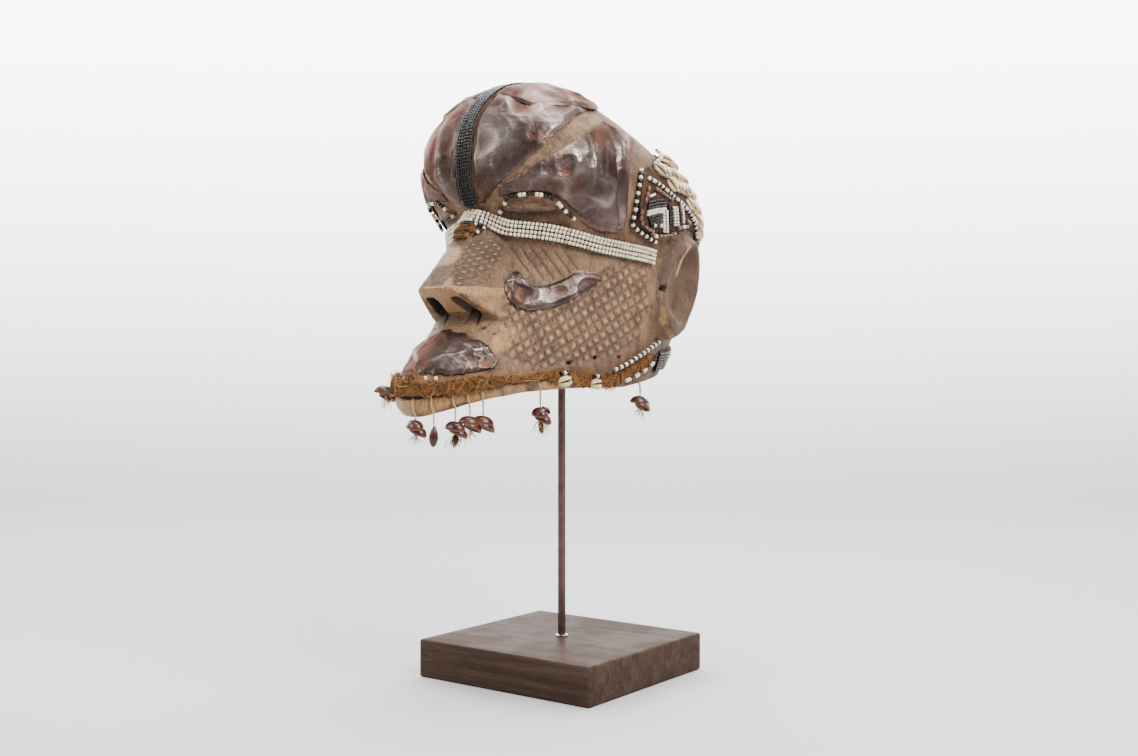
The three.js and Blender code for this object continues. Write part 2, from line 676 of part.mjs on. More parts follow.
// The white band crosses the face from ear to ear over the nose bridge.
const WHITE_ROUTE_NEAR = [[89, 0.618], [79, 0.613], [68, 0.608], [57, 0.6], [46, 0.586], [36, 0.575],
  [26, 0.568], [18, 0.562], [11, BRIDGE + 0.02], [5, BRIDGE + 0.005]];
const whiteRoute = [...WHITE_ROUTE_NEAR, [0, BRIDGE], ...mirroredRoute(WHITE_ROUTE_NEAR).reverse()];
const whiteSection = bandSection(WHITE_BAND_WIDTH, LAID + WHITE_BAND_LIFT, BEAD_BAND_THICKNESS);
place('white_band', runGeometry(stationsAlong(whiteRoute, 32), whiteSection), whiteBead);

const BRIDGE_TIE = {
  inner: [[-5, BRIDGE + 0.042], [0, BRIDGE + 0.04], [5, BRIDGE + 0.042]],
  outer: [[-6, BRIDGE + 0.072], [0, BRIDGE + 0.074], [6, BRIDGE + 0.072]],
};
place('bridge_tie', sheetGeometry(BRIDGE_TIE.inner, BRIDGE_TIE.outer, 2, 4, LAID, LAID + CLOTH), fibre);

// Share of the ear's lower end, and of a place this part of the way from there down to the rim.
const EAR_FOOT = placeWhere(['y', 'z'], [
  EAR_BACK - (EAR_LENGTH / 2) * Math.sin(EAR_LEAN),
  CHIN_HEIGHT + EAR_HEIGHT - (EAR_LENGTH / 2) * Math.cos(EAR_LEAN),
], [92, 0.83])[1];
const underEar = (way) => EAR_FOOT + (1 - EAR_FOOT) * way;

// Strings of beads: over each eyelid, down the front edge of the cloth and two under each ear.
const STRINGS = {
  eye_string: { route: [[17, 0.48], [19, 0.452], [25, 0.442], [31, 0.439], [36, 0.443], [40, 0.455],
    [43, 0.485], [47, 0.516]], steps: 12 },
  cloth_string: { route: [[86, 0.325], [83, 0.37], [79.8, 0.42], [77, 0.465], [74, 0.517], [78, 0.545],
    [84, 0.565], [90, 0.576]], steps: 14 },
  ear_string_upper: { route: [[80, underEar(0.554)], [84, underEar(0.471)], [90, underEar(0.348)],
    [97, underEar(0.203)], [104, underEar(0.07)]], steps: 6 },
  ear_string_lower: { route: [[88, underEar(0.788)], [93, underEar(0.721)], [98, underEar(0.638)],
    [104, underEar(0.499)], [104, underEar(0.276)]], steps: 6 },
};
Object.entries(STRINGS).forEach(([name, { route, steps }]) => {
  const string = runGeometry(stationsAlong(route, steps), roundSection(BEAD_STRING, LAID - 0.3));
  place(`${name}_near`, string, whiteBead);
  place(`${name}_far`, mirrored(string), whiteBead);
});

// The cloth round the back of the head, with cowries sewn on in rows; the nape cloth is below it.
const CLOTH_HALF = {
  inner: [[88, 0.335], [100, 0.29], [114, 0.255], [134, 0.22], [156, 0.195]],
  outer: [[77, 0.51], [88, 0.535], [103, 0.475], [124, 0.465], [150, 0.545]],
};
const NAPE_HALF = {
  inner: [[110, 0.87], [132, 0.862], [156, 0.857]],
  outer: [[110, 0.955], [132, 0.96], [156, 0.963]],
};
const wholeRound = (half, behind) => {
  const otherHalf = half.map(([angle, share]) => [360 - angle, share]).reverse();
  return [...half, [180, behind], ...otherHalf];
};
const backCloth = sheetGeometry(wholeRound(CLOTH_HALF.inner, 0.19), wholeRound(CLOTH_HALF.outer, 0.58), 6, 16,
  LAID + CLOTH_LIFT, LAID + CLOTH_LIFT + CLOTH);

function cowrieGeometry(angle, share, base, turn) {
  const cowrie = new THREE.SphereGeometry(COWRIE_LENGTH / 2, 6, 3);
  cowrie.scale(0.66, 1, 0.5);
  cowrie.rotateZ(turn * DEG);
  const { point, normal } = station(angle, share);
  const upright = new THREE.Quaternion().setFromUnitVectors(new THREE.Vector3(0, 0, 1), normal);
  cowrie.applyQuaternion(upright);
  const centre = point.addScaledVector(normal, base);
  cowrie.translate(centre.x, centre.y, centre.z);
  return cowrie;
}

const cowrieRows = [0.3, 0.37, 0.44].flatMap((share, row) => Array.from({ length: 8 - row % 2 }, (_, i) => (
  cowrieGeometry(110 + row % 2 * 10 + i * 20, share, LAID + CLOTH_LIFT + CLOTH, 0))));
place('back_cloth', joined([backCloth, ...cowrieRows]), cloth);
const napeCloth = sheetGeometry(wholeRound(NAPE_HALF.inner, 0.855), wholeRound(NAPE_HALF.outer, 0.965), 2,
  12, LAID, LAID + CLOTH);
place('nape_cloth', napeCloth, cloth);

// The raffia trim follows the mouth and jaw, with two cowries tied on at each side.
const FIBRE_NEAR = [[84, 0.968], [76, 0.963], [68, 0.953], [59, 0.942], [50, 0.93], [40, 0.924], [30, 0.925],
  [20, 0.925], [10, 0.92]];
const fibreRoute = [...FIBRE_NEAR, [0, 0.917], ...mirroredRoute(FIBRE_NEAR).reverse()];
const FIBRE_LOW = 2;
place('fibre_trim', runGeometry(stationsAlong(fibreRoute, 30), bandSection(FIBRE_WIDTH, FIBRE_LOW,
  FIBRE_THICKNESS)), fibre);
[[60, 0.943], [72, 0.958]].forEach(([angle, share], i) => {
  const cowrie = cowrieGeometry(angle, share, FIBRE_LOW + FIBRE_THICKNESS + 3.9, 90);
  place(`jaw_cowrie_near_${i + 1}`, cowrie, shell);
  place(`jaw_cowrie_far_${i + 1}`, mirrored(cowrie), shell);
});

// Seeds on raffia cords that hang from the trim over the lower lip. Each row is the place round the
// rim, the height of the seeds above the chin and how they are strung.
const PENDANTS = [
  [-27, 25, 'pair'], [4, -5, 'pair'], [14, -10, 'long'], [23, -2, 'tuft'], [28.5, -1.5, 'pair'],
  [33.5, 2, 'long'], [53, 9.5, 'cluster'], [98, 14, 'pair'],
];

function seedGeometry(length, width, thickness, tilt, centre) {
  const body = new THREE.SphereGeometry(1, 6, 4);
  body.scale(length / 2, width / 2, thickness / 2);
  body.rotateY(tilt * DEG);
  body.translate(...centre);
  return body;
}

function seedsFor(kind) {
  const pair = [
    seedGeometry(SEED_LENGTH, SEED_LENGTH * 0.7, SEED_LENGTH * 0.55, 12, [0, 0, -3]),
    seedGeometry(SEED_LENGTH * 0.9, SEED_LENGTH * 0.65, SEED_LENGTH * 0.45, 20, [2, 0, -9]),
  ];
  if (kind === 'long') return [seedGeometry(8, 8, SEED_LENGTH * 1.25, 4, [0, 0, -8])];
  if (kind === 'pair') return pair;
  const tail = new THREE.CylinderGeometry(kind === 'tuft' ? 3 : 5, 0.6, 16, 5);
  tail.rotateX(Math.PI / 2);
  tail.scale(1, 0.6, -1);
  tail.translate(1, 0, -17);
  return [...pair, outwards(tail)];
}

function pendantGeometry(angle, height, kind) {
  const high = station(angle, angle < 90 && angle > -90 ? 0.968 : 0.985);
  const rim = station(angle, 1);
  const out = rim.normal.clone().setZ(0).normalize();
  const start = high.point.clone().addScaledVector(high.normal, 2);
  const beside = CHIN_HEIGHT + height + SEED_LENGTH * 0.3 > rim.point.z;
  const hang = rim.point.clone().addScaledVector(out, beside ? FIBRE_THICKNESS + SEED_LENGTH * 0.6 : 4);
  const end = hang.clone().setZ(CHIN_HEIGHT + height);
  const middle = hang.clone().setZ(Math.max(Math.min(rim.point.z, start.z - 4), end.z + 3));
  const route = [start, middle, end.clone().setZ(end.z - 5)].map((point) => ({ point, normal: out }));
  const cord = runGeometry(route, roundSection(PENDANT_CORD, -PENDANT_CORD / 2, 4));
  const seeds = seedsFor(kind).map((geometry) => {
    geometry.rotateZ(angle * DEG);
    geometry.translate(end.x, end.y, end.z);
    return geometry;
  });
  return joined([cord, ...seeds]);
}

PENDANTS.forEach(([angle, height, kind], i) => {
  place(`pendant_${i + 1}`, pendantGeometry(angle, height, kind), seed);
});

export default group;
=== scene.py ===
"""A Kuba bwoom helmet mask on its display stand: a hollow carved head with sheet copper, bead bands,
a cowrie cloth, raffia trim and seed pendants. Every new piece is worked out with numpy in millimetres,
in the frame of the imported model, and becomes a mesh in metres."""
import math

import bpy
import numpy as np
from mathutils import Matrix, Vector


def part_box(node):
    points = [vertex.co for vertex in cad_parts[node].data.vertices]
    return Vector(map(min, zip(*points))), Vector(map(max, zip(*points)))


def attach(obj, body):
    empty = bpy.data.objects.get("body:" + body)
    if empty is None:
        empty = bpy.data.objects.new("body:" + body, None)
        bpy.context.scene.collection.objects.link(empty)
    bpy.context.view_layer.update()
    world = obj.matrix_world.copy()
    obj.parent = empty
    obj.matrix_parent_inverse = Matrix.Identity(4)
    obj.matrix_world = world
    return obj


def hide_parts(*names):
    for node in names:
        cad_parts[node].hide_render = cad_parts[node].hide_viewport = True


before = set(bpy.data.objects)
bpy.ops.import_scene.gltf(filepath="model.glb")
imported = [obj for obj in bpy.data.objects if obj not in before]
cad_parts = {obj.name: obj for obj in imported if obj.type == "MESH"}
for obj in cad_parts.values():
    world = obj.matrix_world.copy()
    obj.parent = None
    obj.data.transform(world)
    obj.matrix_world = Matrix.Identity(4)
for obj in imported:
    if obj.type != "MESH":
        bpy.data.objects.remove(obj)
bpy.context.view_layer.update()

# The view: the photographer stood in front of the mask's right-hand side, level with its chin, and
# looked almost straight ahead with a short telephoto lens.
VIEW_AZIMUTH = 36.69
VIEW_PITCH = -0.36
view = bpy.data.cameras.new("view")
view.lens = 41.06
view_object = bpy.data.objects.new("view", view)
view_object.location = (0.8047, -1.0674, 0.3124)
view_object.rotation_euler = (math.radians(90.0 + VIEW_PITCH), 0.0, math.radians(VIEW_AZIMUTH))
bpy.context.scene.collection.objects.link(view_object)
bpy.context.scene.camera = view_object


# The studio: a pale paper sweep that curves up behind the stand, three large soft lamps and a pale sky.
def grid_faces(rows, columns, close=False, first=0):
    """Four-sided faces of a grid of points kept row by row; close joins the last column to the first."""
    last = columns if close else columns - 1
    r, c = np.meshgrid(np.arange(rows - 1), np.arange(last), indexing="ij")
    a = first + r * columns + c
    b = first + r * columns + (c + 1) % columns
    return np.stack([a, b, b + columns, a + columns], -1).reshape(-1, 4)


def mesh_object(name, parts, sharp=50.0):
    """One object from parts, each (points in mm, list of face arrays, material, marks by name); a mark
    is one number for each point, kept as an attribute, and "uv" is two, kept as the UV map."""
    mesh = bpy.data.meshes.new(name)
    points, faces, slots, first = [], [], [], 0
    for slot, (part_points, part_faces, material, _) in enumerate(parts):
        mesh.materials.append(material)
        points.append(np.reshape(part_points, (-1, 3)))
        for group in part_faces:
            faces += (group + first).tolist()
            slots += [slot] * len(group)
        first += len(points[-1])
    mesh.from_pydata((np.concatenate(points) * 0.001).tolist(), [], faces)
    mesh.polygons.foreach_set("material_index", slots)
    mesh.polygons.foreach_set("use_smooth", [True] * len(faces))
    names = sorted({mark for part in parts for mark in part[3]})
    for mark in names:
        width = 2 if mark == "uv" else 1
        values = np.concatenate([
            np.reshape(part[3].get(mark, np.zeros((len(p), width))), (len(p), width)).astype(float)
            for part, p in zip(parts, points)])
        if mark == "uv":
            corner = np.empty(len(mesh.loops), np.int32)
            mesh.loops.foreach_get("vertex_index", corner)
            mesh.uv_layers.new(name="uv").uv.foreach_set("vector", values[corner].ravel())
        else:
            mesh.attributes.new(mark, "FLOAT", "POINT").data.foreach_set("value", values.ravel())
    mesh.set_sharp_from_angle(angle=math.radians(sharp))
    made = bpy.data.objects.new(name, mesh)
    bpy.context.scene.collection.objects.link(made)
    return made


def fill(tree, node, inputs):
    """Fills a node's inputs; a socket given as a value is linked. Returns the node."""
    for key, value in inputs.items():
        if isinstance(value, bpy.types.NodeSocket):
            tree.links.new(value, node.inputs[key])
        else:
            node.inputs[key].default_value = value
    return node


def add(tree, kind, inputs=None, **settings):
    """Adds one shader node, sets its properties and fills its inputs."""
    made = tree.nodes.new("ShaderNode" + kind)
    for key, value in settings.items():
        setattr(made, key, value)
    return fill(tree, made, inputs or {})


def material(name, **values):
    """A material with the Principled shader set to plain values; returns (material, its tree, shader)."""
    made = bpy.data.materials.new(name)
    made.use_nodes = True
    shader = made.node_tree.nodes["Principled BSDF"]
    for key, value in values.items():
        shader.inputs[key.replace("_", " ")].default_value = value
    return made, made.node_tree, shader


# Painted light: the paper glows, the more the higher it goes, in place of the lamps that light the wall.
paper, tree, shader = material("sweep_paper", Base_Color=(0.47, 0.468, 0.469, 1.0), Roughness=0.95,
                               Emission_Color=(1.0, 0.99, 0.995, 1.0))
height = add(tree, "SeparateXYZ", {0: add(tree, "TexCoord").outputs["Object"]}).outputs["Z"]
painted_glow = {"Value": height, "From Min": 0.0, "From Max": 1.5, "To Min": 0.0, "To Max": 9.6}
fill(tree, shader, {"Emission Strength": add(tree, "MapRange", painted_glow).outputs["Result"]})
SWEEP_BEND = 900.0
rise = np.linspace(0.0, math.pi / 2, 17)
sweep_y = np.concatenate([[-4000.0], 1400.0 + SWEEP_BEND * np.sin(rise), [2300.0]])[:, None]
sweep_z = np.concatenate([[0.0], SWEEP_BEND - SWEEP_BEND * np.cos(rise), [4200.0]])[:, None]
sweep_x = np.array([[-4500.0, 4500.0]])
turn = math.radians(VIEW_AZIMUTH)
sweep = np.stack([sweep_x * math.cos(turn) - sweep_y * math.sin(turn),
                  sweep_x * math.sin(turn) + sweep_y * math.cos(turn), np.repeat(sweep_z, 2, 1)], -1)
floor = mesh_object("floor", [(sweep, [grid_faces(len(sweep_y), 2)], paper, {})])


def soft_lamp(name, place, size, watts):
    """A square lamp at a place in metres that faces the middle of the mask."""
    light = bpy.data.lights.new(name, "AREA")
    light.size = size
    light.energy = watts
    made = bpy.data.objects.new(name, light)
    x, y, z = np.array(place) - (0.0, 0.0, 0.42)
    made.location = place
    made.rotation_euler = (math.atan2(math.hypot(x, y), z), 0.0, math.atan2(x, -y))
    bpy.context.scene.collection.objects.link(made)


soft_lamp("lamp_right", (1.4, -0.4, 1.5), 0.8, 56.0)
soft_lamp("lamp_left", (-1.0, -1.6, 1.4), 1.1, 30.0)
soft_lamp("lamp_top", (0.1, 0.1, 2.2), 1.2, 62.0)
sky = bpy.data.worlds.new("sky")
sky.use_nodes = True
fill(sky.node_tree, sky.node_tree.nodes["Background"], {"Color": (0.96, 0.97, 1.0, 1.0), "Strength": 0.38})
bpy.context.scene.world = sky


# The plinth: one block of dark stained and waxed hardwood with eased edges, its grain running with
# the long side.
def mix(tree, factor, first, second):
    """Blends two colours by a factor; a plain colour is (red, green, blue)."""
    first, second = ((*colour, 1.0) if isinstance(colour, tuple) else colour for colour in (first, second))
    return add(tree, "Mix", {0: factor, 6: first, 7: second}, data_type="RGBA").outputs[2]


def sums(tree, operation, first, second=0.5):
    """One Math node."""
    return add(tree, "Math", {0: first, 1: second}, operation=operation).outputs[0]


def times(tree, first, second):
    """A product."""
    return sums(tree, "MULTIPLY", first, second)


def over(tree, tone, mask, share, colour):
    """Lays a colour over a tone where a mask is 1, and covers at most this share of it."""
    return mix(tree, times(tree, mask, share), tone, colour)


def between(tree, value, low, high):
    """0 below low, 1 above high, and smooth in between."""
    return add(tree, "MapRange", {"Value": value, "From Min": low, "From Max": high},
               interpolation_type="SMOOTHSTEP").outputs["Result"]


def cloud(tree, vector, scale, detail=4.0, roughness=0.55):
    """Noise from 0 to 1 at this many lumps a metre."""
    settings = {"Vector": vector, "Scale": scale, "Detail": detail, "Roughness": roughness}
    return add(tree, "TexNoise", settings).outputs["Fac"]


def patches(tree, vector, scale, low, high, detail=4.0, roughness=0.55):
    """Noise turned into patches: 0 where it is below low, 1 where it is above high."""
    return between(tree, cloud(tree, vector, scale, detail, roughness), low, high)


def place_on(tree, stretch=(1.0, 1.0, 1.0)):
    """Object coordinates, stretched."""
    where = add(tree, "TexCoord").outputs["Object"]
    return add(tree, "Mapping", {"Vector": where, "Scale": stretch}).outputs["Vector"]


def uv_on(tree):
    """The two numbers of the UV map, as X and Y."""
    return add(tree, "SeparateXYZ", {0: add(tree, "UVMap", uv_map="uv").outputs["UV"]}).outputs


def mark(tree, name):
    """A mesh's own attribute as a number."""
    return add(tree, "Attribute", attribute_name=name).outputs["Fac"]


def bump(tree, height, distance, strength=1.0, normal=None):
    """A Bump node, over another one's normal if given; returns its normal."""
    inputs = {"Height": height, "Distance": distance, "Strength": strength}
    return add(tree, "Bump", inputs if normal is None else inputs | {"Normal": normal}).outputs["Normal"]


def finish(tree, shader, tone, normal, roughness=None):
    """Feeds the shader its colour, its normal and, where it changes over the surface, its roughness."""
    sockets = {"Base Color": tone, "Normal": normal}
    fill(tree, shader, sockets if roughness is None else sockets | {"Roughness": roughness})


def effect(name, inputs, outputs):
    """An empty shader node group with named inputs {name: (type, value)} and outputs {name: type}."""
    made = bpy.data.node_groups.new(name, "ShaderNodeTree")
    for key, (kind, value) in inputs.items():
        socket = made.interface.new_socket(key, in_out="INPUT", socket_type="NodeSocket" + kind)
        if value is not None:
            socket.default_value = value
    for key, kind in outputs.items():
        made.interface.new_socket(key, in_out="OUTPUT", socket_type="NodeSocket" + kind)
    return made, made.nodes.new("NodeGroupInput").outputs, made.nodes.new("NodeGroupOutput").inputs


def use(tree, group, inputs):
    """Places an effect in a material and returns its outputs."""
    made = tree.nodes.new("ShaderNodeGroup")
    made.node_tree = group
    return fill(tree, made, inputs).outputs


# Wood grain: long thin noise for the fibres and broader noise for the growth bands.
grain, grain_in, grain_out = effect(
    "wood_grain", {"Vector": ("Vector", None), "Fibres": ("Float", 900.0), "Bands": ("Float", 60.0)},
    {"Fibre": "Float", "Band": "Float"})
bands = {"Vector": grain_in["Vector"], "Scale": grain_in["Bands"], "Detail": 5.0, "Roughness": 0.6,
         "Distortion": 0.8}
fibres = {"Vector": grain_in["Vector"], "Scale": grain_in["Fibres"], "Detail": 3.0}
grain.links.new(add(grain, "TexNoise", fibres).outputs["Fac"], grain_out["Fibre"])
grain.links.new(add(grain, "TexNoise", bands).outputs["Fac"], grain_out["Band"])

# Grime: patches of old dirt and handling, with fine specks inside them.
grime, grime_in, grime_out = effect(
    "grime", {"Vector": ("Vector", None), "Patches": ("Float", 25.0), "Specks": ("Float", 600.0)},
    {"Patch": "Float", "Speck": "Float"})
patch = patches(grime, grime_in["Vector"], grime_in["Patches"], 0.42, 0.62, 6.0, 0.62)
speck = patches(grime, grime_in["Vector"], grime_in["Specks"], 0.56, 0.68, 2.0, 0.5)
grime.links.new(patch, grime_out["Patch"])
grime.links.new(speck, grime_out["Speck"])

plinth_wood, tree, shader = material("plinth_wood", Specular_IOR_Level=0.01)
along = use(tree, grain, {"Vector": place_on(tree, (0.06, 1.0, 1.0)), "Fibres": 1100.0, "Bands": 90.0})
worn = use(tree, grime, {"Vector": place_on(tree), "Patches": 18.0})
tone = mix(tree, between(tree, along["Band"], 0.35, 0.7), (0.041, 0.026, 0.020), (0.073, 0.048, 0.036))
tone = over(tree, tone, between(tree, along["Fibre"], 0.5, 0.75), 0.6, (0.016, 0.008, 0.006))
tone = over(tree, tone, worn["Patch"], 0.3, (0.058, 0.033, 0.022))
finish(tree, shader, tone, bump(tree, along["Fibre"], 0.0004, 0.35),
       sums(tree, "ADD", times(tree, worn["Patch"], 0.14), 0.34))


def eased_block(width, depth, low, high, ease, wobble=0.0):
    """A closed block: a rectangle with rounded corners carried up a profile that turns in at both ends
    by a quarter circle; the top and bottom close on their middle points."""
    turns = np.linspace(0.0, math.pi / 2, 6)
    side = np.linspace(-1.0, 1.0, 15)[1:-1]
    half_x, half_y = width / 2 - ease, depth / 2 - ease
    outline = []
    for quarter, (sx, sy) in enumerate([(1, 1), (-1, 1), (-1, -1), (1, -1)]):
        start = quarter * math.pi / 2
        outline += [(half_x * sx, half_y * sy, math.cos(start + t), math.sin(start + t)) for t in turns]
        across = quarter % 2 == 0
        for s in side:
            reach = -s * sx if across else -s * sy
            outline.append((half_x * (reach if across else sx), half_y * (sy if across else reach),
                            0.0 if across else sx, sy if across else 0.0))
    core_x, core_y, out_x, out_y = np.array(outline).T
    bend = np.linspace(0.0, math.pi / 2, 5)
    insets = np.concatenate([1.0 - np.sin(bend), 1.0 - np.cos(bend)]) * ease
    heights = np.concatenate([low + ease * (1.0 - np.cos(bend)), high - ease * (1.0 - np.sin(bend))])
    rows = [np.stack([core_x + out_x * (ease - i), core_y + out_y * (ease - i), np.full_like(core_x, z)], -1)
            for i, z in zip(insets, heights)]
    shrink = np.array([0.8, 0.55, 0.3])
    bottom = [rows[0] * (s, s, 1.0) for s in shrink[::-1]]
    top = [rows[-1] * (s, s, 1.0) for s in shrink]
    points = np.concatenate([*bottom, *rows, *top])
    if wobble:
        points = points + np.sin(points[:, ::-1] * 0.045 + (0.4, 1.1, 2.0)) * (wobble, wobble, 0.0)
    count, first, last = len(core_x), len(points), len(points) - len(core_x)
    points = np.concatenate([points, [[0.0, 0.0, low], [0.0, 0.0, high]]])
    ring = np.arange(count)
    after = (ring + 1) % count
    caps = np.concatenate([np.stack([np.full(count, first), after, ring], -1),
                           np.stack([np.full(count, first + 1), last + ring, last + after], -1)])
    return points, [grid_faces(len(rows) + 6, count, close=True), caps]


def piece(name, parts, nodes, sharp=50.0):
    """Makes a mesh piece that rides on the one body, takes its finish from a slot and stands for nodes."""
    made = mesh_object(name, parts, sharp)
    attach(made, "root")
    if nodes:
        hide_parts(*nodes)
    return made


def node_box(name):
    """Lowest and highest corner of a node in mm."""
    return [np.array(corner) * 1000.0 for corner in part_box(name)]


plinth_low, plinth_high = node_box("plinth")
plinth_size = plinth_high - plinth_low
PLINTH_TOP = plinth_high[2]
block = eased_block(plinth_size[0] - 0.4, plinth_size[1] - 0.4, 0.0, PLINTH_TOP, 2.6, wobble=0.15)
piece("plinth_block", [(*block, plinth_wood, {})], ["plinth"], sharp=70.0)

# The rod: a thin square iron bar, brown with patina, let into the plinth; a small rest is welded on
# its top and carries the inside of the crown.
rod_iron, tree, shader = material("rod_iron", Metallic=0.75)
where = place_on(tree)
rust = use(tree, grime, {"Vector": where, "Patches": 90.0, "Specks": 1400.0})
tone = mix(tree, rust["Patch"], (0.085, 0.048, 0.036), (0.125, 0.078, 0.060))
tone = mix(tree, rust["Speck"], tone, (0.045, 0.026, 0.020))
finish(tree, shader, tone, bump(tree, cloud(tree, where, 900.0), 0.0002, 0.5),
       sums(tree, "ADD", times(tree, rust["Patch"], 0.2), 0.4))
rod_low, rod_high = node_box("rod")
REST_SIDE = rod_high[0] - rod_low[0]
ROD_SIDE = 6.0
REST_THICKNESS = 3.0
bar = eased_block(ROD_SIDE, ROD_SIDE, rod_low[2], rod_high[2] - REST_THICKNESS, 0.7)
rest = eased_block(REST_SIDE, REST_SIDE, rod_high[2] - REST_THICKNESS, rod_high[2], 0.8)
piece("rod_bar", [(*bar, rod_iron, {}), (*rest, rod_iron, {})], ["rod"], sharp=60.0)

# The collar: a bright ring pressed over the rod where it leaves the plinth.
collar_metal, tree, shader = material("collar_metal", Metallic=1.0, Roughness=0.3)
scratches = cloud(tree, place_on(tree), 2500.0)
finish(tree, shader, mix(tree, scratches, (0.42, 0.38, 0.33), (0.66, 0.62, 0.55)),
       bump(tree, scratches, 0.0001, 0.4))


def turned(profile, count):
    """A closed ring: a closed profile of (radius, height) carried round the Z axis."""
    angle = np.arange(count)[:, None] * 2 * math.pi / count
    r, z = np.array(profile).T[:, None]
    points = np.stack([r * np.cos(angle), r * np.sin(angle), np.repeat(z, count, 0)], -1)
    n = len(profile)
    i, j = np.meshgrid(np.arange(count), np.arange(n), indexing="ij")
    here, beyond = i * n, (i + 1) % count * n
    faces = np.stack([here + j, beyond + j, beyond + (j + 1) % n, here + (j + 1) % n], -1)
    return points, [faces.reshape(-1, 4)]


collar_low, collar_high = node_box("rod_collar")
collar_middle = (collar_high[0] + ROD_SIDE * 0.72) / 2
collar_ring = [(collar_middle + (collar_high[0] - collar_middle) * math.cos(t),
                (collar_low[2] + collar_high[2]) / 2 + (collar_high[2] - collar_low[2]) / 2 * math.sin(t))
               for t in np.linspace(0.0, 2 * math.pi, 12, endpoint=False)]
piece("collar_ring", [(*turned(collar_ring, 48), collar_metal, {})], ["rod_collar"])

# The mask: one block of wood, hollowed to take a head, with a jutting forehead, a wedge nose, closed
# eyelids and thick ears. The cheeks are cut in crossed grooves, now filled with pale dust.
CHIN_HEIGHT = 270.0
MASK_HEIGHT = 322.0
MASK_WIDTH = 228.0
MASK_DEPTH = 382.0
WALL = 11.0
WALL_AT_RIM = 9.0
NOSE_ROOT_HEIGHT = 192.0
NOSE_TIP_HEIGHT = 116.0
NOSE_REACH = 50.0
NOSE_ROOT_HALF_WIDTH = 5.0
NOSE_TIP_HALF_WIDTH = 20.0
NOSE_FLANK_SLOPE = (1.2, 3.4)
NOSE_UNDERSIDE_SLOPE = 1.75
NOSTRIL_LENGTH = 31.0
NOSTRIL_WIDTH = 10.0
NOSTRIL_DEPTH = 13.0
NOSTRIL_TURN = 13.0
EYE_SPACING = 102.0
EYE_LENGTH = 44.0
EYE_OPENING = 11.5
EYE_HEIGHT = 192.0
EYE_SAG = 1.0
LID_RELIEF = 5.0
EAR_LENGTH = 114.0
EAR_WIDTH = 62.0
EAR_RELIEF = 17.0
EAR_BACK = 43.5
EAR_HEIGHT = 127.0
EAR_LEAN = math.atan2(0.4, 0.916)
LIP_ROLL = 3.0
LIP_TOP_SHARE = 0.93
NOSE_SPAN = 62.0
NOSE_ROUND_OFF = 1.2
EYE_SHELF_DEPTH = 3.4
CUT_DEPTH = 1.45
FINE_CUT_DEPTH = 0.7

# Sections of the head from crown to rim: front y, front z, back y, back z, half width, widest at,
# front and back superellipse powers and droop; y is a share of the depth, z of the height.
SECTIONS = [
    [-0.152, 1.0, -0.141, 1.0, 0.018, 0.5, 2.0, 2.0, 1],
    [-0.249, 0.975, -0.031, 0.942, 0.455, 0.5, 2.0, 1.9, 1],
    [-0.327, 0.919, 0.126, 0.867, 0.715, 0.5, 2.2, 1.9, 1],
    [-0.380, 0.835, 0.270, 0.780, 0.908, 0.5, 2.35, 2.0, 1],
    [-0.395, 0.739, 0.368, 0.700, 0.991, 0.48, 2.35, 2.2, 1],
    [-0.385, 0.665, 0.411, 0.619, 1.0, 0.48, 2.3, 2.35, 1],
    [-0.353, 0.596, 0.421, 0.553, 0.974, 0.47, 1.95, 2.4, 1],
    [-0.340, 0.528, 0.419, 0.497, 0.947, 0.47, 1.8, 2.4, 1],
    [-0.359, 0.410, 0.406, 0.410, 0.939, 0.48, 1.75, 2.4, 1],
    [-0.424, 0.280, 0.380, 0.323, 0.930, 0.5, 1.7, 2.3, 1],
    [-0.518, 0.177, 0.346, 0.242, 0.912, 0.54, 1.6, 2.2, 1.3],
    [-0.579, 0.078, 0.314, 0.180, 0.886, 0.57, 1.7, 2.2, 2.2],
    [-0.579, 0.0, 0.293, 0.140, 0.860, 0.57, 1.75, 2.2, 4]]


def through(rows, share):
    """Catmull-Rom curve through evenly spaced rows; share 0 is the first row and 1 the last."""
    rows = np.asarray(rows, float)
    place = np.clip(share, 0.0, 1.0) * (len(rows) - 1)
    i = np.minimum(np.floor(place).astype(int), len(rows) - 2)
    f = (place - i)[..., None]
    before, here, after, beyond = (rows[np.clip(i + k, 0, len(rows) - 1)] for k in (-1, 0, 1, 2))
    return 0.5 * (2 * here + (after - before) * f + (2 * before - 5 * here + 4 * after - beyond) * f ** 2
                  + (3 * here - before - 3 * after + beyond) * f ** 3)


def smooth(low, high, value):
    """0 at low, 1 at high and smooth in between; low may be the larger."""
    t = np.clip((value - low) / (high - low), 0.0, 1.0)
    return t * t * (3.0 - 2.0 * t)


def plain_point(angle, share):
    """The head without carving: a closed curve of two half superellipses at each share of the way down
    from the crown; angle is 0 at the front and 90 at the +X side."""
    angle, share = np.broadcast_arrays(np.asarray(angle, float), np.asarray(share, float))
    yf, zf, yb, zb, w, k, front, back, droop = np.moveaxis(through(SECTIONS, share), -1, 0)
    c, s = np.cos(np.radians(angle)), np.sin(np.radians(angle))
    power = 2.0 / np.where(c > 0, front, back)
    reach = np.abs(c) ** power
    yc = yf + (yb - yf) * k
    zc = zf + (zb - zf) * k
    return np.stack([
        w * np.sign(s) * np.abs(s) ** power * MASK_WIDTH / 2,
        np.where(c > 0, yc + (yf - yc) * reach, yc + (yb - yc) * reach) * MASK_DEPTH,
        np.where(c > 0, zc + (zf - zc) * reach ** droop, zc + (zb - zc) * reach) * MASK_HEIGHT + CHIN_HEIGHT,
    ], -1)


def unit(vectors):
    """Vectors of length one."""
    return vectors / np.maximum(np.linalg.norm(vectors, axis=-1, keepdims=True), 1e-9)


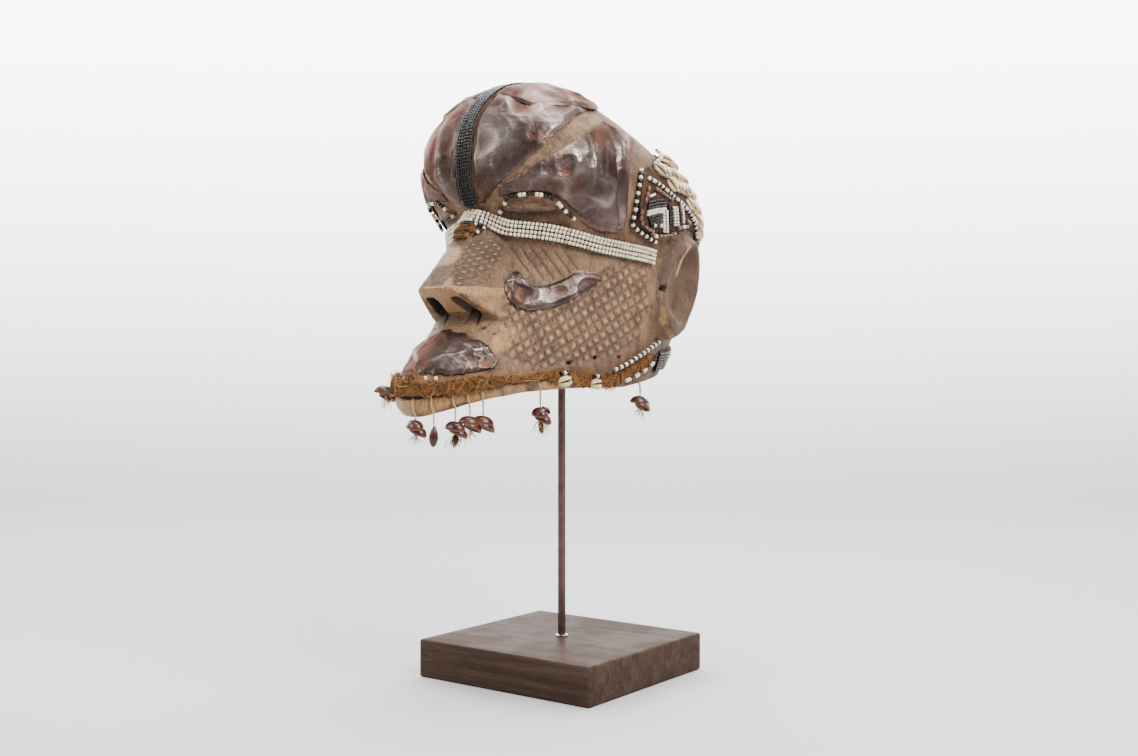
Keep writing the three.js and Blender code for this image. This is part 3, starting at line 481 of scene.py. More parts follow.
def normal_of(surface, angle, share):
    """Outward normal of a surface function, by small steps both ways."""
    share = np.asarray(share, float)
    across = surface(angle + 0.4, share) - surface(angle - 0.4, share)
    down = surface(angle, np.minimum(share + 0.004, 1.0)) - surface(angle, np.maximum(share - 0.004, 0.0))
    return unit(np.cross(down, across))


def soft_max(first, second, round_off):
    """The larger of two, with the corner between them rounded off."""
    top = np.maximum(first, second)
    return top + round_off * np.log(np.exp((first - top) / round_off) + np.exp((second - top) / round_off))


ROOT_Y = plain_point(0.0, 0.5)[1]
TIP_Y = plain_point(0.0, 0.7)[1] - NOSE_REACH


def nose_half_width(z):
    """Half the width of the flat ridge, which widens from root to tip."""
    down = (NOSE_ROOT_HEIGHT - z + CHIN_HEIGHT) / (NOSE_ROOT_HEIGHT - NOSE_TIP_HEIGHT)
    return NOSE_ROOT_HALF_WIDTH + (NOSE_TIP_HALF_WIDTH - NOSE_ROOT_HALF_WIDTH) * down


def nose_y(x, z):
    """Depth of the nose at a place seen from the front: a ridge plane that falls away beside its
    flat, cut off below by a plane that slopes back to the lip; the two edges are eased."""
    height = z - CHIN_HEIGHT
    down = (NOSE_ROOT_HEIGHT - height) / (NOSE_ROOT_HEIGHT - NOSE_TIP_HEIGHT)
    slope = NOSE_FLANK_SLOPE[0] + (NOSE_FLANK_SLOPE[1] - NOSE_FLANK_SLOPE[0]) * np.maximum(down, 0.0)
    beside = soft_max(np.abs(x) - nose_half_width(z), 0.0 * x, NOSE_ROUND_OFF)
    flank = ROOT_Y + (TIP_Y - ROOT_Y) * down + slope * beside
    underside = TIP_Y + (NOSE_TIP_HEIGHT - height) * NOSE_UNDERSIDE_SLOPE
    return soft_max(flank, underside, NOSE_ROUND_OFF * 0.6)


def turn_from_front(angle):
    """Degrees away from the front, 0 to 180."""
    return np.abs((np.asarray(angle, float) + 180.0) % 360.0 - 180.0)


def lip_roll(turn, share):
    """The rolled lower lip: half a sine wave just above the rim, fading towards the ears."""
    down = np.clip((share - LIP_TOP_SHARE) / 0.07, 0.0, 1.0)
    return LIP_ROLL * np.sin(math.pi * down) * (1.0 - smooth(50.0, 80.0, turn))


def face_point(angle, share):
    """The head with its nose and lower lip, which the trim is laid on."""
    angle, share = np.broadcast_arrays(np.asarray(angle, float), np.asarray(share, float))
    point = plain_point(angle, share).copy()
    turn = turn_from_front(angle)
    nose = -soft_max(-point[..., 1], -nose_y(point[..., 0], point[..., 2]), 0.9)
    point[..., 1] = np.where(turn < NOSE_SPAN, nose, point[..., 1])
    return point + normal_of(plain_point, angle, share) * lip_roll(turn, share)[..., None]


def on_face(angle, share, height):
    """A point this far above the face."""
    return face_point(angle, share) + normal_of(face_point, angle, share) * np.asarray(height)[..., None]


def lumps(points, size, seed):
    """Smooth noise from -1 to 1: random values on a lattice of this size, blended between corners."""
    table = np.random.default_rng(seed).uniform(-1.0, 1.0, (24, 24, 24))
    place = np.asarray(points) / size
    cell = np.floor(place).astype(int)
    f = place - cell
    f = f * f * (3.0 - 2.0 * f)
    total = np.zeros(place.shape[:-1])
    for corner in range(8):
        step = np.array([corner & 1, corner >> 1 & 1, corner >> 2 & 1])
        i, j, k = np.moveaxis((cell + step) % 24, -1, 0)
        total += np.prod(np.where(step, f, 1.0 - f), -1) * table[i, j, k]
    return total


def inside(angle, share, outline, fade):
    """1 within an outline of (angle, share) corners and 0 outside, fading over this many degrees."""
    u, v = angle, share * 100.0
    corners = np.array(outline) * (1.0, 100.0)
    nearest = np.full(u.shape, 1e9)
    within = np.zeros(u.shape, bool)
    for (x0, y0), (x1, y1) in zip(corners, np.roll(corners, -1, 0)):
        t = ((u - x0) * (x1 - x0) + (v - y0) * (y1 - y0)) / ((x1 - x0) ** 2 + (y1 - y0) ** 2)
        t = np.clip(t, 0.0, 1.0)
        nearest = np.minimum(nearest, np.hypot(u - x0 - t * (x1 - x0), v - y0 - t * (y1 - y0)))
        crosses = (y0 > v) != (y1 > v)
        within ^= crosses & (u < (x1 - x0) * (v - y0) / (y1 - y0 + 1e-12) + x0)
    return smooth(-fade / 2, fade / 2, np.where(within, nearest, -nearest))


# The cuts are straight on an upright plane that faces the cheek. One family rises towards the ear, one
# falls steeply and one, above the leaf, less steeply: slope in degrees and pitch in mm.
CHEEK_FACING = math.radians(36.0)
HATCH = ((37.0, 8.8), (-66.0, 7.6), (-53.0, 7.6))
CHEEK_HATCH = [(24, 0.735), (23, 0.70), (30, 0.70), (42, 0.735), (55, 0.70), (62, 0.645), (84, 0.640),
               (93, 0.74), (87, 0.84), (72, 0.885), (52, 0.895), (40, 0.865), (30, 0.80)]
CHEEK_GROOVES = [(19, 0.612), (42, 0.618), (52, 0.655), (40, 0.683), (26, 0.66)]
NOSE_HATCH = [(7.5, 0.60), (16, 0.60), (19, 0.645), (15, 0.70), (9, 0.665)]
# Round holes through or into the wood, at (angle, share, radius) on each side.
HOLES = [(61.0, 0.886, 1.8), (70.3, 0.873, 2.0), (81.0, 0.876, 1.6), (49.5, 0.896, 1.3), (93.5, 0.688, 3.5),
         (21.0, 0.772, 1.5), (27.0, 0.79, 1.4), (84.0, 0.33, 1.2), (99.0, 0.545, 1.6), (72.3, 0.691, 1.1),
         (71.4, 0.699, 1.0), (73.0, 0.683, 0.9)]


def hatch_axes(points):
    """Places along the three families of cuts, in pitches."""
    level = np.abs(points[..., 0]) * math.cos(CHEEK_FACING) + points[..., 1] * math.sin(CHEEK_FACING)
    return [(points[..., 2] * math.cos(math.radians(slope)) - level * math.sin(math.radians(slope))) / pitch
            for slope, pitch in HATCH]


def groove(place, half_width):
    """1 on whole numbers and 0 further off than the half width, with round shoulders."""
    return 1.0 - smooth(0.0, half_width, np.abs(place - np.round(place)))


def pressed(points, normals, centre, normal, radius, depth):
    """Presses a round hole into a surface: points near its edge are drawn on to the edge, and those
    inside go straight down. Returns (points, 0 to 1 inside the hole)."""
    wide = 1.9
    away = points - centre
    axial = np.sum(away * normal, -1, keepdims=True)
    lateral = away - axial * normal
    r = np.linalg.norm(lateral, axis=-1)
    near = (r < wide * radius) & (np.abs(axial[..., 0]) < radius + 8.0) & (np.sum(normals * normal, -1) > 0.2)
    off = (r - radius) / ((wide - 1.0) * radius)
    drawn = radius + np.sign(off) * np.abs(off) ** 1.7 * (wide - 1.0) * radius
    drawn = np.where(r < radius, radius * (1.0 - np.abs(1.0 - r / radius) ** 1.5), drawn)
    scale = np.where(near & (r > 1e-6), drawn / np.maximum(r, 1e-6), 1.0)
    hole = np.where(near, smooth(1.04, 0.93, drawn / radius), 0.0)
    return points + lateral * (scale - 1.0)[..., None] - normal * (hole * depth)[..., None], hole


def carved_head():
    """The outside of the mask on a grid of (angle, share) that is finest on the face: the plain head,
    its nose, nostrils, eyelids, ears and cuts, one after another, and the marks that the wood takes."""
    half = np.concatenate([np.linspace(0.0, 118.0, 206)[:-1], np.linspace(118.0, 180.0, 34)])
    angle = np.concatenate([half, -half[-2:0:-1]])
    share = np.concatenate([np.linspace(0.012, 0.42, 40)[:-1], np.linspace(0.42, 1.0, 152)])
    angle, share = np.meshgrid(angle, share)
    plain = plain_point(angle, share)
    plain_normal = normal_of(plain_point, angle, share)
    turn = turn_from_front(angle)
    marks = {}
    points = face_point(angle, share)
    on_nose = np.where(turn < NOSE_SPAN, smooth(0.5, 6.0, plain[..., 1] - points[..., 1]), 0.0)
    x, z = plain[..., 0], plain[..., 2] - CHIN_HEIGHT
    height = np.zeros_like(x)

    # eyelids: a lens over a slit, with a shelf sunk under it
    from_eye = np.abs(x) - EYE_SPACING / 2
    lens = np.maximum(1.0 - (from_eye / (EYE_LENGTH / 2)) ** 2, 0.0)
    front = turn < 70.0
    slit = EYE_HEIGHT - EYE_SAG * lens
    above = (z - slit) / np.maximum(EYE_OPENING * lens, 0.01)
    on_lid = front & (lens > 0.0) & (above > 0.0) & (above < 1.0)
    height += np.where(on_lid, LID_RELIEF * np.sqrt(lens) * np.sqrt(np.clip(1.0 - above ** 2, 0.0, 1.0)), 0.0)
    wide = np.maximum(1.0 - (from_eye / (EYE_LENGTH * 0.56)) ** 2, 0.0)
    shelf = front * np.sqrt(wide) * smooth(3.0, 0.0, z - slit) * smooth(-10.0, -2.0, z - slit) * ~on_lid
    height -= EYE_SHELF_DEPTH * shelf
    orbit = front * np.sqrt(wide) * smooth(-0.6, 0.6, above) * smooth(2.1, 1.0, above) * ~on_lid
    height -= 0.9 * orbit
    # painted shade: dark under the lid, in its inner corner and over the lower part of the lid
    inner_corner = np.exp(-((from_eye + EYE_LENGTH * 0.5) / 3.5) ** 2 - ((z - slit) / 5.0) ** 2)
    under_lid = np.sqrt(wide) * np.exp(-((z - slit + 2.6) / 2.8) ** 2)
    marks["dark"] = front * np.maximum(under_lid, inner_corner * 0.9)
    marks["dark"] = np.maximum(marks["dark"], on_lid * smooth(0.42, 0.0, above) * 0.62)

    # ears: a thick roll round a hollow, standing well off the head
    rise, back = z - EAR_HEIGHT, plain[..., 1] - EAR_BACK
    long = (back * math.sin(EAR_LEAN) + rise * math.cos(EAR_LEAN)) / (EAR_LENGTH / 2)
    wide_way = (back * math.cos(EAR_LEAN) - rise * math.sin(EAR_LEAN)) / (EAR_WIDTH / 2)
    r = np.hypot(long, wide_way)
    outer = smooth(-0.75, 0.35, wide_way)
    roll = np.exp(-((r - 0.84) / 0.22) ** 2) * (0.4 + 0.6 * outer)
    inner = 0.5 * np.exp(-((wide_way + 0.42) / 0.3) ** 2 - ((long - 0.35) / 0.5) ** 2)
    lobe = 0.45 * np.exp(-((wide_way + 0.15) / 0.5) ** 2 - ((long + 0.75) / 0.25) ** 2)
    ear = EAR_RELIEF * np.minimum(0.2 + roll + inner + lobe, 1.05) * (1.0 - 0.35 * smooth(0.86, 1.0, r))
    on_side = (turn > 55.0) & (turn < 140.0)
    edge = smooth(1.07, 0.97, r) * on_side
    height += ear * edge
    marks["ear"] = edge

    # the mouth: a slot over the lower lip, under the raffia, darkened with painted shade
    mouth = np.exp(-((share - 0.937) / 0.0045) ** 2) * (1.0 - smooth(50.0, 62.0, turn))
    height -= 3.0 * mouth

    # adze marks, dents and the crossed cuts of the cheeks
    rough = lumps(plain, 17.0, 3) * 0.45 + lumps(plain, 7.0, 4) * 0.22 + lumps(plain, 3.4, 5) * 0.10
    height += rough * (1.0 - 0.5 * on_nose)
    rising, falling, brow = hatch_axes(plain)
    wander = lumps(plain, 23.0, 6) * 0.10 + lumps(plain, 9.0, 7) * 0.05
    rising, falling, brow = rising + wander, falling - wander, brow + wander
    lattice = inside(turn, share, CHEEK_HATCH, 3.0) * (1.0 - edge) * (1.0 - on_nose)
    grooves = inside(turn, share, CHEEK_GROOVES, 2.0) * (1.0 - on_nose)
    fine = inside(turn, share, NOSE_HATCH, 2.0)
    cut = np.maximum(groove(rising, 0.36), groove(falling, 0.40)) * lattice
    cut = np.maximum(cut, groove(brow, 0.30) * grooves)
    height -= cut * CUT_DEPTH
    height -= np.maximum(groove(rising * 2.0, 0.34), groove(brow * 2.0, 0.34)) * fine * FINE_CUT_DEPTH
    marks["lattice"], marks["grooves"], marks["fine"] = lattice, grooves, fine
    marks["uv"] = np.stack([rising, np.where(grooves + fine > 0.01, brow, falling)], -1)

    # nostrils: two slots cut up into the slope under the nose
    normals = normal_of(face_point, angle, share)
    points = points + normals * height[..., None]
    slope_in = np.array([0.0, 1.0, NOSE_UNDERSIDE_SLOPE]) / math.hypot(1.0, NOSE_UNDERSIDE_SLOPE)
    slope_down = np.array([0.0, NOSE_UNDERSIDE_SLOPE, -1.0]) / math.hypot(1.0, NOSE_UNDERSIDE_SLOPE)
    middle = CHIN_HEIGHT + (NOSE_TIP_HEIGHT - NOSTRIL_LENGTH / 2)
    middle_y = nose_y(np.array(0.0), np.array(middle))
    for which in (-1.0, 1.0):
        centre = np.array([which * NOSE_TIP_HALF_WIDTH * 0.88, middle_y, middle])
        away = points - centre
        turned_by = math.radians(NOSTRIL_TURN) * which
        down = np.sum(away * slope_down, -1)
        across = away[..., 0]
        u = down * math.cos(turned_by) + across * math.sin(turned_by)
        v = across * math.cos(turned_by) - down * math.sin(turned_by)
        rounded = np.hypot(np.maximum(np.abs(u) - NOSTRIL_LENGTH / 2 + NOSTRIL_WIDTH * 0.4, 0.0) / 0.8, v)
        near_slope = (turn < 45.0) & (np.abs(np.sum(away * slope_in, -1)) < 12.0)
        slot = smooth(NOSTRIL_WIDTH * 0.58, NOSTRIL_WIDTH * 0.42, rounded) * near_slope
        points = points + slope_in * (slot * NOSTRIL_DEPTH)[..., None]
        # painted shade in each slot and round its rim
        shaded = smooth(NOSTRIL_WIDTH * 0.84, NOSTRIL_WIDTH * 0.64, rounded) * near_slope
        marks["dark"] = np.maximum(marks["dark"], shaded)

    # holes: one through each ear root, nail holes and the holes that the trim is tied through
    pits = np.zeros_like(x)
    for where_angle, where_share, radius in HOLES:
        for which in (-1.0, 1.0):
            spot = np.abs(angle - which * where_angle) + np.abs(share - where_share) * 300.0
            row, column = np.unravel_index(np.argmin(spot), spot.shape)
            points, hole = pressed(points, plain_normal, points[row, column], plain_normal[row, column],
                                   radius, 3.2 * radius)
            pits = np.maximum(pits, hole)
    # painted shade in the holes and in the mouth slot
    marks["dark"] = np.maximum(np.maximum(marks["dark"], pits), mouth)

    # worn pale places: ridge and edges of the nose, lids, roll of the ear and lower lip
    ridge = on_nose * smooth(4.0, -3.0, np.abs(x) - nose_half_width(plain[..., 2]))
    tip = on_nose * np.exp(-((z - NOSE_TIP_HEIGHT) / 3.5) ** 2) * (np.abs(x) < 52.0)
    fold = np.exp(-((wide_way + 0.40) / 0.16) ** 2) * smooth(-0.1, 0.2, long) * smooth(0.9, 0.6, long) * edge
    rim = np.exp(-((r - 0.93) / 0.09) ** 2) * edge * (0.35 + 0.65 * smooth(0.0, 0.3, -long))
    lower_lip = smooth(0.935, 0.95, share) * (1.0 - smooth(56.0, 78.0, turn))
    patch = smooth(-0.1, 0.5, lumps(plain, 19.0, 12))
    nose_wear = np.maximum(ridge * (0.42 + 0.40 * patch), tip * 0.9)
    below_tip = on_nose * smooth(3.0, -3.0, z - NOSE_TIP_HEIGHT) * 0.5
    front_cheek = np.exp(-((turn - 32.5) / 6.0) ** 2 - ((share - 0.80) / 0.05) ** 2) * 0.95
    lower_lip = lower_lip * (0.45 + 0.55 * smooth(-0.3, 0.3, lumps(plain, 9.0, 13)))
    wear = nose_wear + below_tip + front_cheek + fold + rim * 0.6 + lower_lip + on_lid * 0.3
    marks["wear"] = np.clip(wear, 0.0, 1.0)
    marks["lid"] = on_lid.astype(float)
    forehead_dust = 0.75 * smooth(0.52, 0.46, share) * (turn < 80.0)
    cheek_dust = smooth(14.0, 30.0, turn) * smooth(0.86, 0.76, share) * smooth(0.60, 0.66, share)
    jaw_dust = 0.5 * smooth(0.72, 0.78, share) * (turn < 60.0)
    marks["dust"] = np.clip(forehead_dust + cheek_dust + jaw_dust, 0.0, 1.0)
    return angle[0], points, marks


def inner_shell(angle, shares):
    """The hollow: the plain head drawn in by the wall, from the rim up to the crown."""
    angle, share = np.meshgrid(angle, shares)
    normal = normal_of(plain_point, angle, share)
    level = unit(normal * (1.0, 1.0, 0.0))
    at_rim = (share > 0.999)[..., None]
    wall = np.where(at_rim, WALL_AT_RIM, WALL + lumps(plain_point(angle, share), 13.0, 11)[..., None] * 0.9)
    return plain_point(angle, share) - np.where(at_rim, level, normal) * wall


head_angle, head_points, head_marks = carved_head()
HEAD_COLUMNS = len(head_angle)
hollow_shares = np.concatenate([[1.0, 0.985], np.linspace(0.955, 0.05, 12)])
hollow = inner_shell(head_angle, hollow_shares)
crown = plain_point(np.array([0.0, 180.0]), 0.0).mean(0)
all_points = np.concatenate([head_points.reshape(-1, 3), hollow.reshape(-1, 3),
                             [crown, crown - (0.0, 0.0, WALL)]])
rows_in_all = len(head_points) + len(hollow_shares)
ring = np.arange(HEAD_COLUMNS)
after = (ring + 1) % HEAD_COLUMNS
last_row = (rows_in_all - 1) * HEAD_COLUMNS
crown_index = rows_in_all * HEAD_COLUMNS
head_faces = [grid_faces(rows_in_all, HEAD_COLUMNS, close=True)[:, ::-1],
              np.stack([np.full(HEAD_COLUMNS, crown_index), ring, after], -1),
              np.stack([np.full(HEAD_COLUMNS, crown_index + 1), last_row + after, last_row + ring], -1)]
all_marks = {}
for key, values in head_marks.items():
    flat = np.reshape(values, (-1, 2) if key == "uv" else (-1, 1))
    rest_marks = np.zeros((len(all_points) - len(flat), flat.shape[1]))
    all_marks[key] = np.concatenate([flat, rest_marks])
inner_mark = np.zeros(len(all_points))
inner_mark[head_points.size // 3:crown_index] = 1.0
inner_mark[crown_index + 1] = 1.0
all_marks["inner"] = inner_mark

mask_wood, tree, shader = material("mask_wood", Specular_IOR_Level=0.34)
where = place_on(tree)
along = use(tree, grain, {"Vector": place_on(tree, (1.0, 1.0, 0.16)), "Fibres": 700.0, "Bands": 45.0})
dirt = use(tree, grime, {"Vector": where, "Patches": 22.0, "Specks": 420.0})
tone = mix(tree, between(tree, along["Band"], 0.33, 0.68), (0.070, 0.035, 0.018), (0.155, 0.083, 0.042))
tone = over(tree, tone, dirt["Patch"], 0.55, (0.058, 0.033, 0.021))
dusty = times(tree, mark(tree, "dust"), patches(tree, where, 60.0, 0.30, 0.62))
tone = over(tree, tone, dusty, 0.8, (0.245, 0.143, 0.075))
tone = over(tree, tone, patches(tree, where, 480.0, 0.52, 0.70, 3.0), 0.34, (0.33, 0.205, 0.115))
tone = over(tree, tone, mark(tree, "ear"), 0.75, (0.056, 0.029, 0.017))
cracks = use(tree, grain, {"Vector": place_on(tree, (1.0, 1.0, 0.22)), "Fibres": 330.0, "Bands": 120.0})
tone = over(tree, tone, between(tree, cracks["Fibre"], 0.55, 0.68), 0.42, (0.048, 0.027, 0.016))
tone = over(tree, tone, between(tree, cracks["Band"], 0.60, 0.72), 0.35, (0.30, 0.175, 0.085))
# Painted shade darkens the bottom of the cuts; the crests between them are pale, partly with dust and partly
# with painted highlight. The UV map counts the cuts, so a zigzag wave of it is 0 in each; the fine ones
# beside the nose come twice as often.
uv = uv_on(tree)
shaken = times(tree, sums(tree, "SUBTRACT", cloud(tree, where, 220.0, 2.0), 0.5), 0.22)
broad, fine = [[sums(tree, "PINGPONG", sums(tree, "ADD", times(tree, uv[family], often), shaken), 0.5)
                for family in ("X", "Y")] for often in (1.0, 2.0)]
broad_cut = sums(tree, "MINIMUM", *broad)
fine_cut = sums(tree, "MINIMUM", *fine)
cuts = 0.0
for line, low, high, where_cut in ((broad_cut, 0.20, 0.05, "lattice"), (broad[1], 0.16, 0.04, "grooves"),
                                   (fine_cut, 0.26, 0.08, "fine")):
    cuts = sums(tree, "MAXIMUM", cuts, times(tree, between(tree, line, low, high), mark(tree, where_cut)))
crest_dust_and_highlight = sums(tree, "ADD", times(tree, between(tree, broad_cut, 0.22, 0.40), mark(tree, "lattice")),
             times(tree, between(tree, fine_cut, 0.28, 0.42), mark(tree, "fine")))
crest_dust_and_highlight = times(tree, crest_dust_and_highlight, patches(tree, where, 130.0, 0.36, 0.62, 3.0))
# pale crests: dust and painted highlight
tone = over(tree, tone, crest_dust_and_highlight, 0.75, (0.37, 0.235, 0.13))
# painted shade in the cuts
tone = over(tree, tone, cuts, 0.66, (0.070, 0.042, 0.026))
worn_patch = sums(tree, "ADD", times(tree, cloud(tree, where, 75.0, 5.0), 0.9), mark(tree, "wear"))
worn_patch = between(tree, worn_patch, 0.85, 1.25)
worn_tone = mix(tree, between(tree, along["Fibre"], 0.4, 0.7), (0.38, 0.21, 0.075), (0.225, 0.112, 0.042))
tone = over(tree, tone, worn_patch, 0.85, worn_tone)
level_grain = use(tree, grain, {"Vector": place_on(tree, (0.10, 0.10, 1.0)), "Fibres": 480.0})
streak = times(tree, between(tree, level_grain["Fibre"], 0.44, 0.60), mark(tree, "lid"))
tone = over(tree, tone, streak, 0.6, (0.045, 0.026, 0.015))
tone = over(tree, tone, dirt["Speck"], 0.35, (0.035, 0.021, 0.014))
# Painted shade: near black under the eyelids, in the eye corners, nostrils, holes and mouth slot.
tone = over(tree, tone, mark(tree, "dark"), 0.93, (0.018, 0.012, 0.009))
tone = over(tree, tone, mark(tree, "inner"), 0.6, (0.050, 0.030, 0.019))
relief = bump(tree, sums(tree, "SUBTRACT", 1.0, cuts), 0.0009, 0.8)
relief = bump(tree, cloud(tree, where, 160.0, 5.0), 0.0013, 0.6, relief)
relief = bump(tree, along["Fibre"], 0.0005, 0.8, relief)
relief = bump(tree, between(tree, cracks["Fibre"], 0.68, 0.55), 0.0007, 0.7, relief)
finish(tree, shader, tone, relief, sums(tree, "SUBTRACT", 0.72, times(tree, worn_patch, 0.24)))
piece("mask_head", [(all_points, head_faces, mask_wood, all_marks)], ["mask"], sharp=65.0)

# The copper: thin sheets hammered over the forehead, the temples, the cheeks and the upper lip and held
# by small tacks. They are torn, folded and crumpled, and tarnished to violet grey and red brown.
copper, tree, shader = material("tarnished_copper", Metallic=0.85, Specular_IOR_Level=0.3,
                                Specular_Tint=(0.42, 0.33, 0.30, 1.0))
where = place_on(tree)
dirt = use(tree, grime, {"Vector": where, "Patches": 26.0, "Specks": 500.0})
rubbed = between(tree, mark(tree, "proud"), 0.25, 0.95)
violet = patches(tree, where, 17.0, 0.36, 0.62, 5.0, 0.6)
tone = mix(tree, violet, (0.088, 0.058, 0.050), (0.036, 0.020, 0.016))
tone = over(tree, tone, patches(tree, where, 31.0, 0.52, 0.70), 0.75, (0.135, 0.046, 0.024))
tone = over(tree, tone, dirt["Patch"], 0.45, (0.092, 0.068, 0.060))
tone = over(tree, tone, rubbed, 0.64, (0.28, 0.23, 0.21))
tone = over(tree, tone, dirt["Speck"], 0.4, (0.020, 0.014, 0.012))
tone = over(tree, tone, mark(tree, "edge"), 0.6, (0.15, 0.098, 0.070))
gloss = sums(tree, "SUBTRACT", 0.40, times(tree, rubbed, 0.14))
relief = bump(tree, cloud(tree, where, 95.0), 0.0022, 0.5)
finish(tree, shader, tone, bump(tree, cloud(tree, where, 420.0, 3.0), 0.0004, 0.45, relief),
       sums(tree, "ADD", gloss, times(tree, dirt["Patch"], 0.10)))

SHEET_LIFT = 1.15
SHEET_THICKNESS = 0.55
TACK_RADIUS = 1.25
CENTRE_SHEET = (
    [[4.6, 0.472], [4.1, 0.4], [3.8, 0.33], [3.9, 0.27],
     [5.0, 0.21], [7.4, 0.155], [11.5, 0.11], [24, 0.065]],
    [[7.2, 0.470], [17, 0.404], [27, 0.35], [38, 0.3],
     [49, 0.25], [60, 0.208], [76, 0.168], [100, 0.13]])
TEMPLE_SHEET = (
    [[15, 0.423], [24, 0.39], [35, 0.348], [49, 0.3], [64, 0.243], [78, 0.205]],
    [[14, 0.452], [22, 0.447], [32, 0.441], [40, 0.452],
     [46, 0.485], [50, 0.520], [57, 0.556], [66.5, 0.560]])
TEMPLE_STRIP = (
    [[77.5, 0.205], [73.5, 0.304], [69.5, 0.431], [66, 0.556]],
    [[92, 0.235], [81.5, 0.31], [75, 0.431], [69.5, 0.535]])
CHEEK_LEAF = (
    [[22.5, 0.664], [26.5, 0.664], [32, 0.686], [38, 0.69],
     [44, 0.678], [50, 0.659], [56, 0.662], [61, 0.672]],
    [[22.5, 0.682], [24, 0.702], [27, 0.721], [34, 0.736],
     [42, 0.735], [50, 0.718], [57, 0.695], [61, 0.678]])
LIP_SHEET = (
    [[-36, 0.875], [-28, 0.825], [-14, 0.79], [0, 0.778], [14, 0.79], [28, 0.82], [36, 0.865]],
    [[-36, 0.882], [-26, 0.889], [-12, 0.884], [0, 0.88], [14, 0.884], [27, 0.889], [36, 0.88]])
# A second sheet lies over the top of the forehead's, with a straight cut edge and one blunt corner.
CROWN_FLAP = (
    [[8, 0.145], [12, 0.105], [22, 0.07], [45, 0.052], [80, 0.05]],
    [[33, 0.195], [50, 0.186], [66, 0.176], [80, 0.166], [97, 0.128]])


def facing_out(points, faces):
    """The faces of a closed mesh, turned over if it encloses a negative volume."""
    flat = np.reshape(points, (-1, 3))
    volume = sum(np.sum(flat[f[:, 0]] * np.cross(flat[f[:, k]], flat[f[:, k + 1]]))
                 for f in faces for k in range(1, f.shape[1] - 1))
    return faces if volume > 0 else [f[:, ::-1] for f in faces]


def closed_sheet(top, under):
    """Joins an upper and a lower grid of points into one closed thin sheet."""
    rows, columns = top.shape[:2]
    points = np.concatenate([top.reshape(-1, 3), under.reshape(-1, 3)])
    first = rows * columns
    index = np.arange(first).reshape(rows, columns)
    rim = np.concatenate([index[0, :-1], index[:-1, -1], index[-1, :0:-1], index[:0:-1, 0]])
    after = np.roll(rim, -1)
    faces = [grid_faces(rows, columns), grid_faces(rows, columns, first=first)[:, ::-1],
             np.stack([rim, rim + first, after + first, after], -1)]
    return points, facing_out(points, faces)


def outline_grid(outline, rows, columns, side, ragged, seed, length=60.0):
    """Places between two edges of [angle, share] points, on one side of the face; both edges wander
    a little, as cut or torn ones do. length is about how long they are, in mm."""
    along = np.linspace(0.0, 1.0, rows)
    first, last = through(outline[0], along), through(outline[1], along)
    for edge_line, offset in ((first, 0.0), (last, 40.0)):
        spot = np.stack([along * length, along * 0.0 + offset, along * 0.0], -1)
        edge_line[:, 0] += lumps(spot, 2.5, seed) * ragged * 1.6
        edge_line[:, 1] += lumps(spot, 1.6, seed + 1) * ragged * 0.006
    f = np.linspace(0.0, 1.0, columns)[None, :, None]
    place = first[:, None] * (1.0 - f) + last[:, None] * f
    return place[..., 0] * side, place[..., 1]


def hammered(outline, rows, columns, side, seed, crumple, lift=SHEET_LIFT, ragged=0.35):
    """A copper sheet on the face. Its height is soft dents plus a crumple given as a function of
    (angle, share, point), and it comes down to the wood at its edges."""
    angle, share = outline_grid(outline, rows, columns, side, ragged, seed)
    base = face_point(angle, share)
    u = np.linspace(-1.0, 1.0, columns)[None, :]
    v = np.linspace(-1.0, 1.0, rows)[:, None]
    size_u = np.linalg.norm(base[rows // 2, -1] - base[rows // 2, 0]) / 2
    size_v = np.linalg.norm(np.diff(base[:, columns // 2], axis=0), axis=-1).sum() / 2
    from_edge = np.minimum((1.0 - np.abs(u)) * size_u, (1.0 - np.abs(v)) * size_v)
    dents = ((1.0 - np.abs(lumps(base, 24.0, seed + 2))) ** 2 * 1.5
             + (1.0 - np.abs(lumps(base, 11.0, seed + 3))) ** 2 * 0.75)
    folds = crumple(np.abs(angle), share, base)
    height = lift + (dents + folds) * smooth(-1.0, 6.0, from_edge) + np.abs(lumps(base, 5.0, seed + 4)) * 0.2
    proud = np.clip((dents * 0.5 + folds) / 2.2, 0.0, 1.0)
    edge = smooth(2.2, 0.4, from_edge)
    top = on_face(angle, share, height + SHEET_THICKNESS)
    under = on_face(angle, share, height)
    points, faces = closed_sheet(top, under)
    marks = {"proud": np.concatenate([proud.ravel()] * 2), "edge": np.concatenate([edge.ravel()] * 2)}
    return points, faces, copper, marks


def domes(centres, normals, radius, height):
    """Small domed heads on a surface: quarter-circle profiles turned round each normal, closed below."""
    sides, rings = 8, 3
    bend = np.linspace(0.0, math.pi / 2, rings + 1)[:-1]
    turns = np.arange(sides) * 2 * math.pi / sides
    ring_points = np.stack([np.cos(bend)[:, None] * np.cos(turns), np.cos(bend)[:, None] * np.sin(turns),
                            np.sin(bend)[:, None] * np.ones(sides)], -1) * (radius, radius, height)
    local = np.concatenate([ring_points.reshape(-1, 3), [[0, 0, height], [0, 0, -0.6]]])
    ring_index = np.arange(sides)
    after_index = (ring_index + 1) % sides
    last, top = (rings - 1) * sides, rings * sides
    quads = grid_faces(rings, sides, close=True)
    caps = np.concatenate([
        np.stack([last + ring_index, last + after_index, np.full(sides, top)], -1),
        np.stack([after_index, ring_index, np.full(sides, top + 1)], -1)])
    return repeat_shape(local, [quads, caps], centres, frames_on(normals))


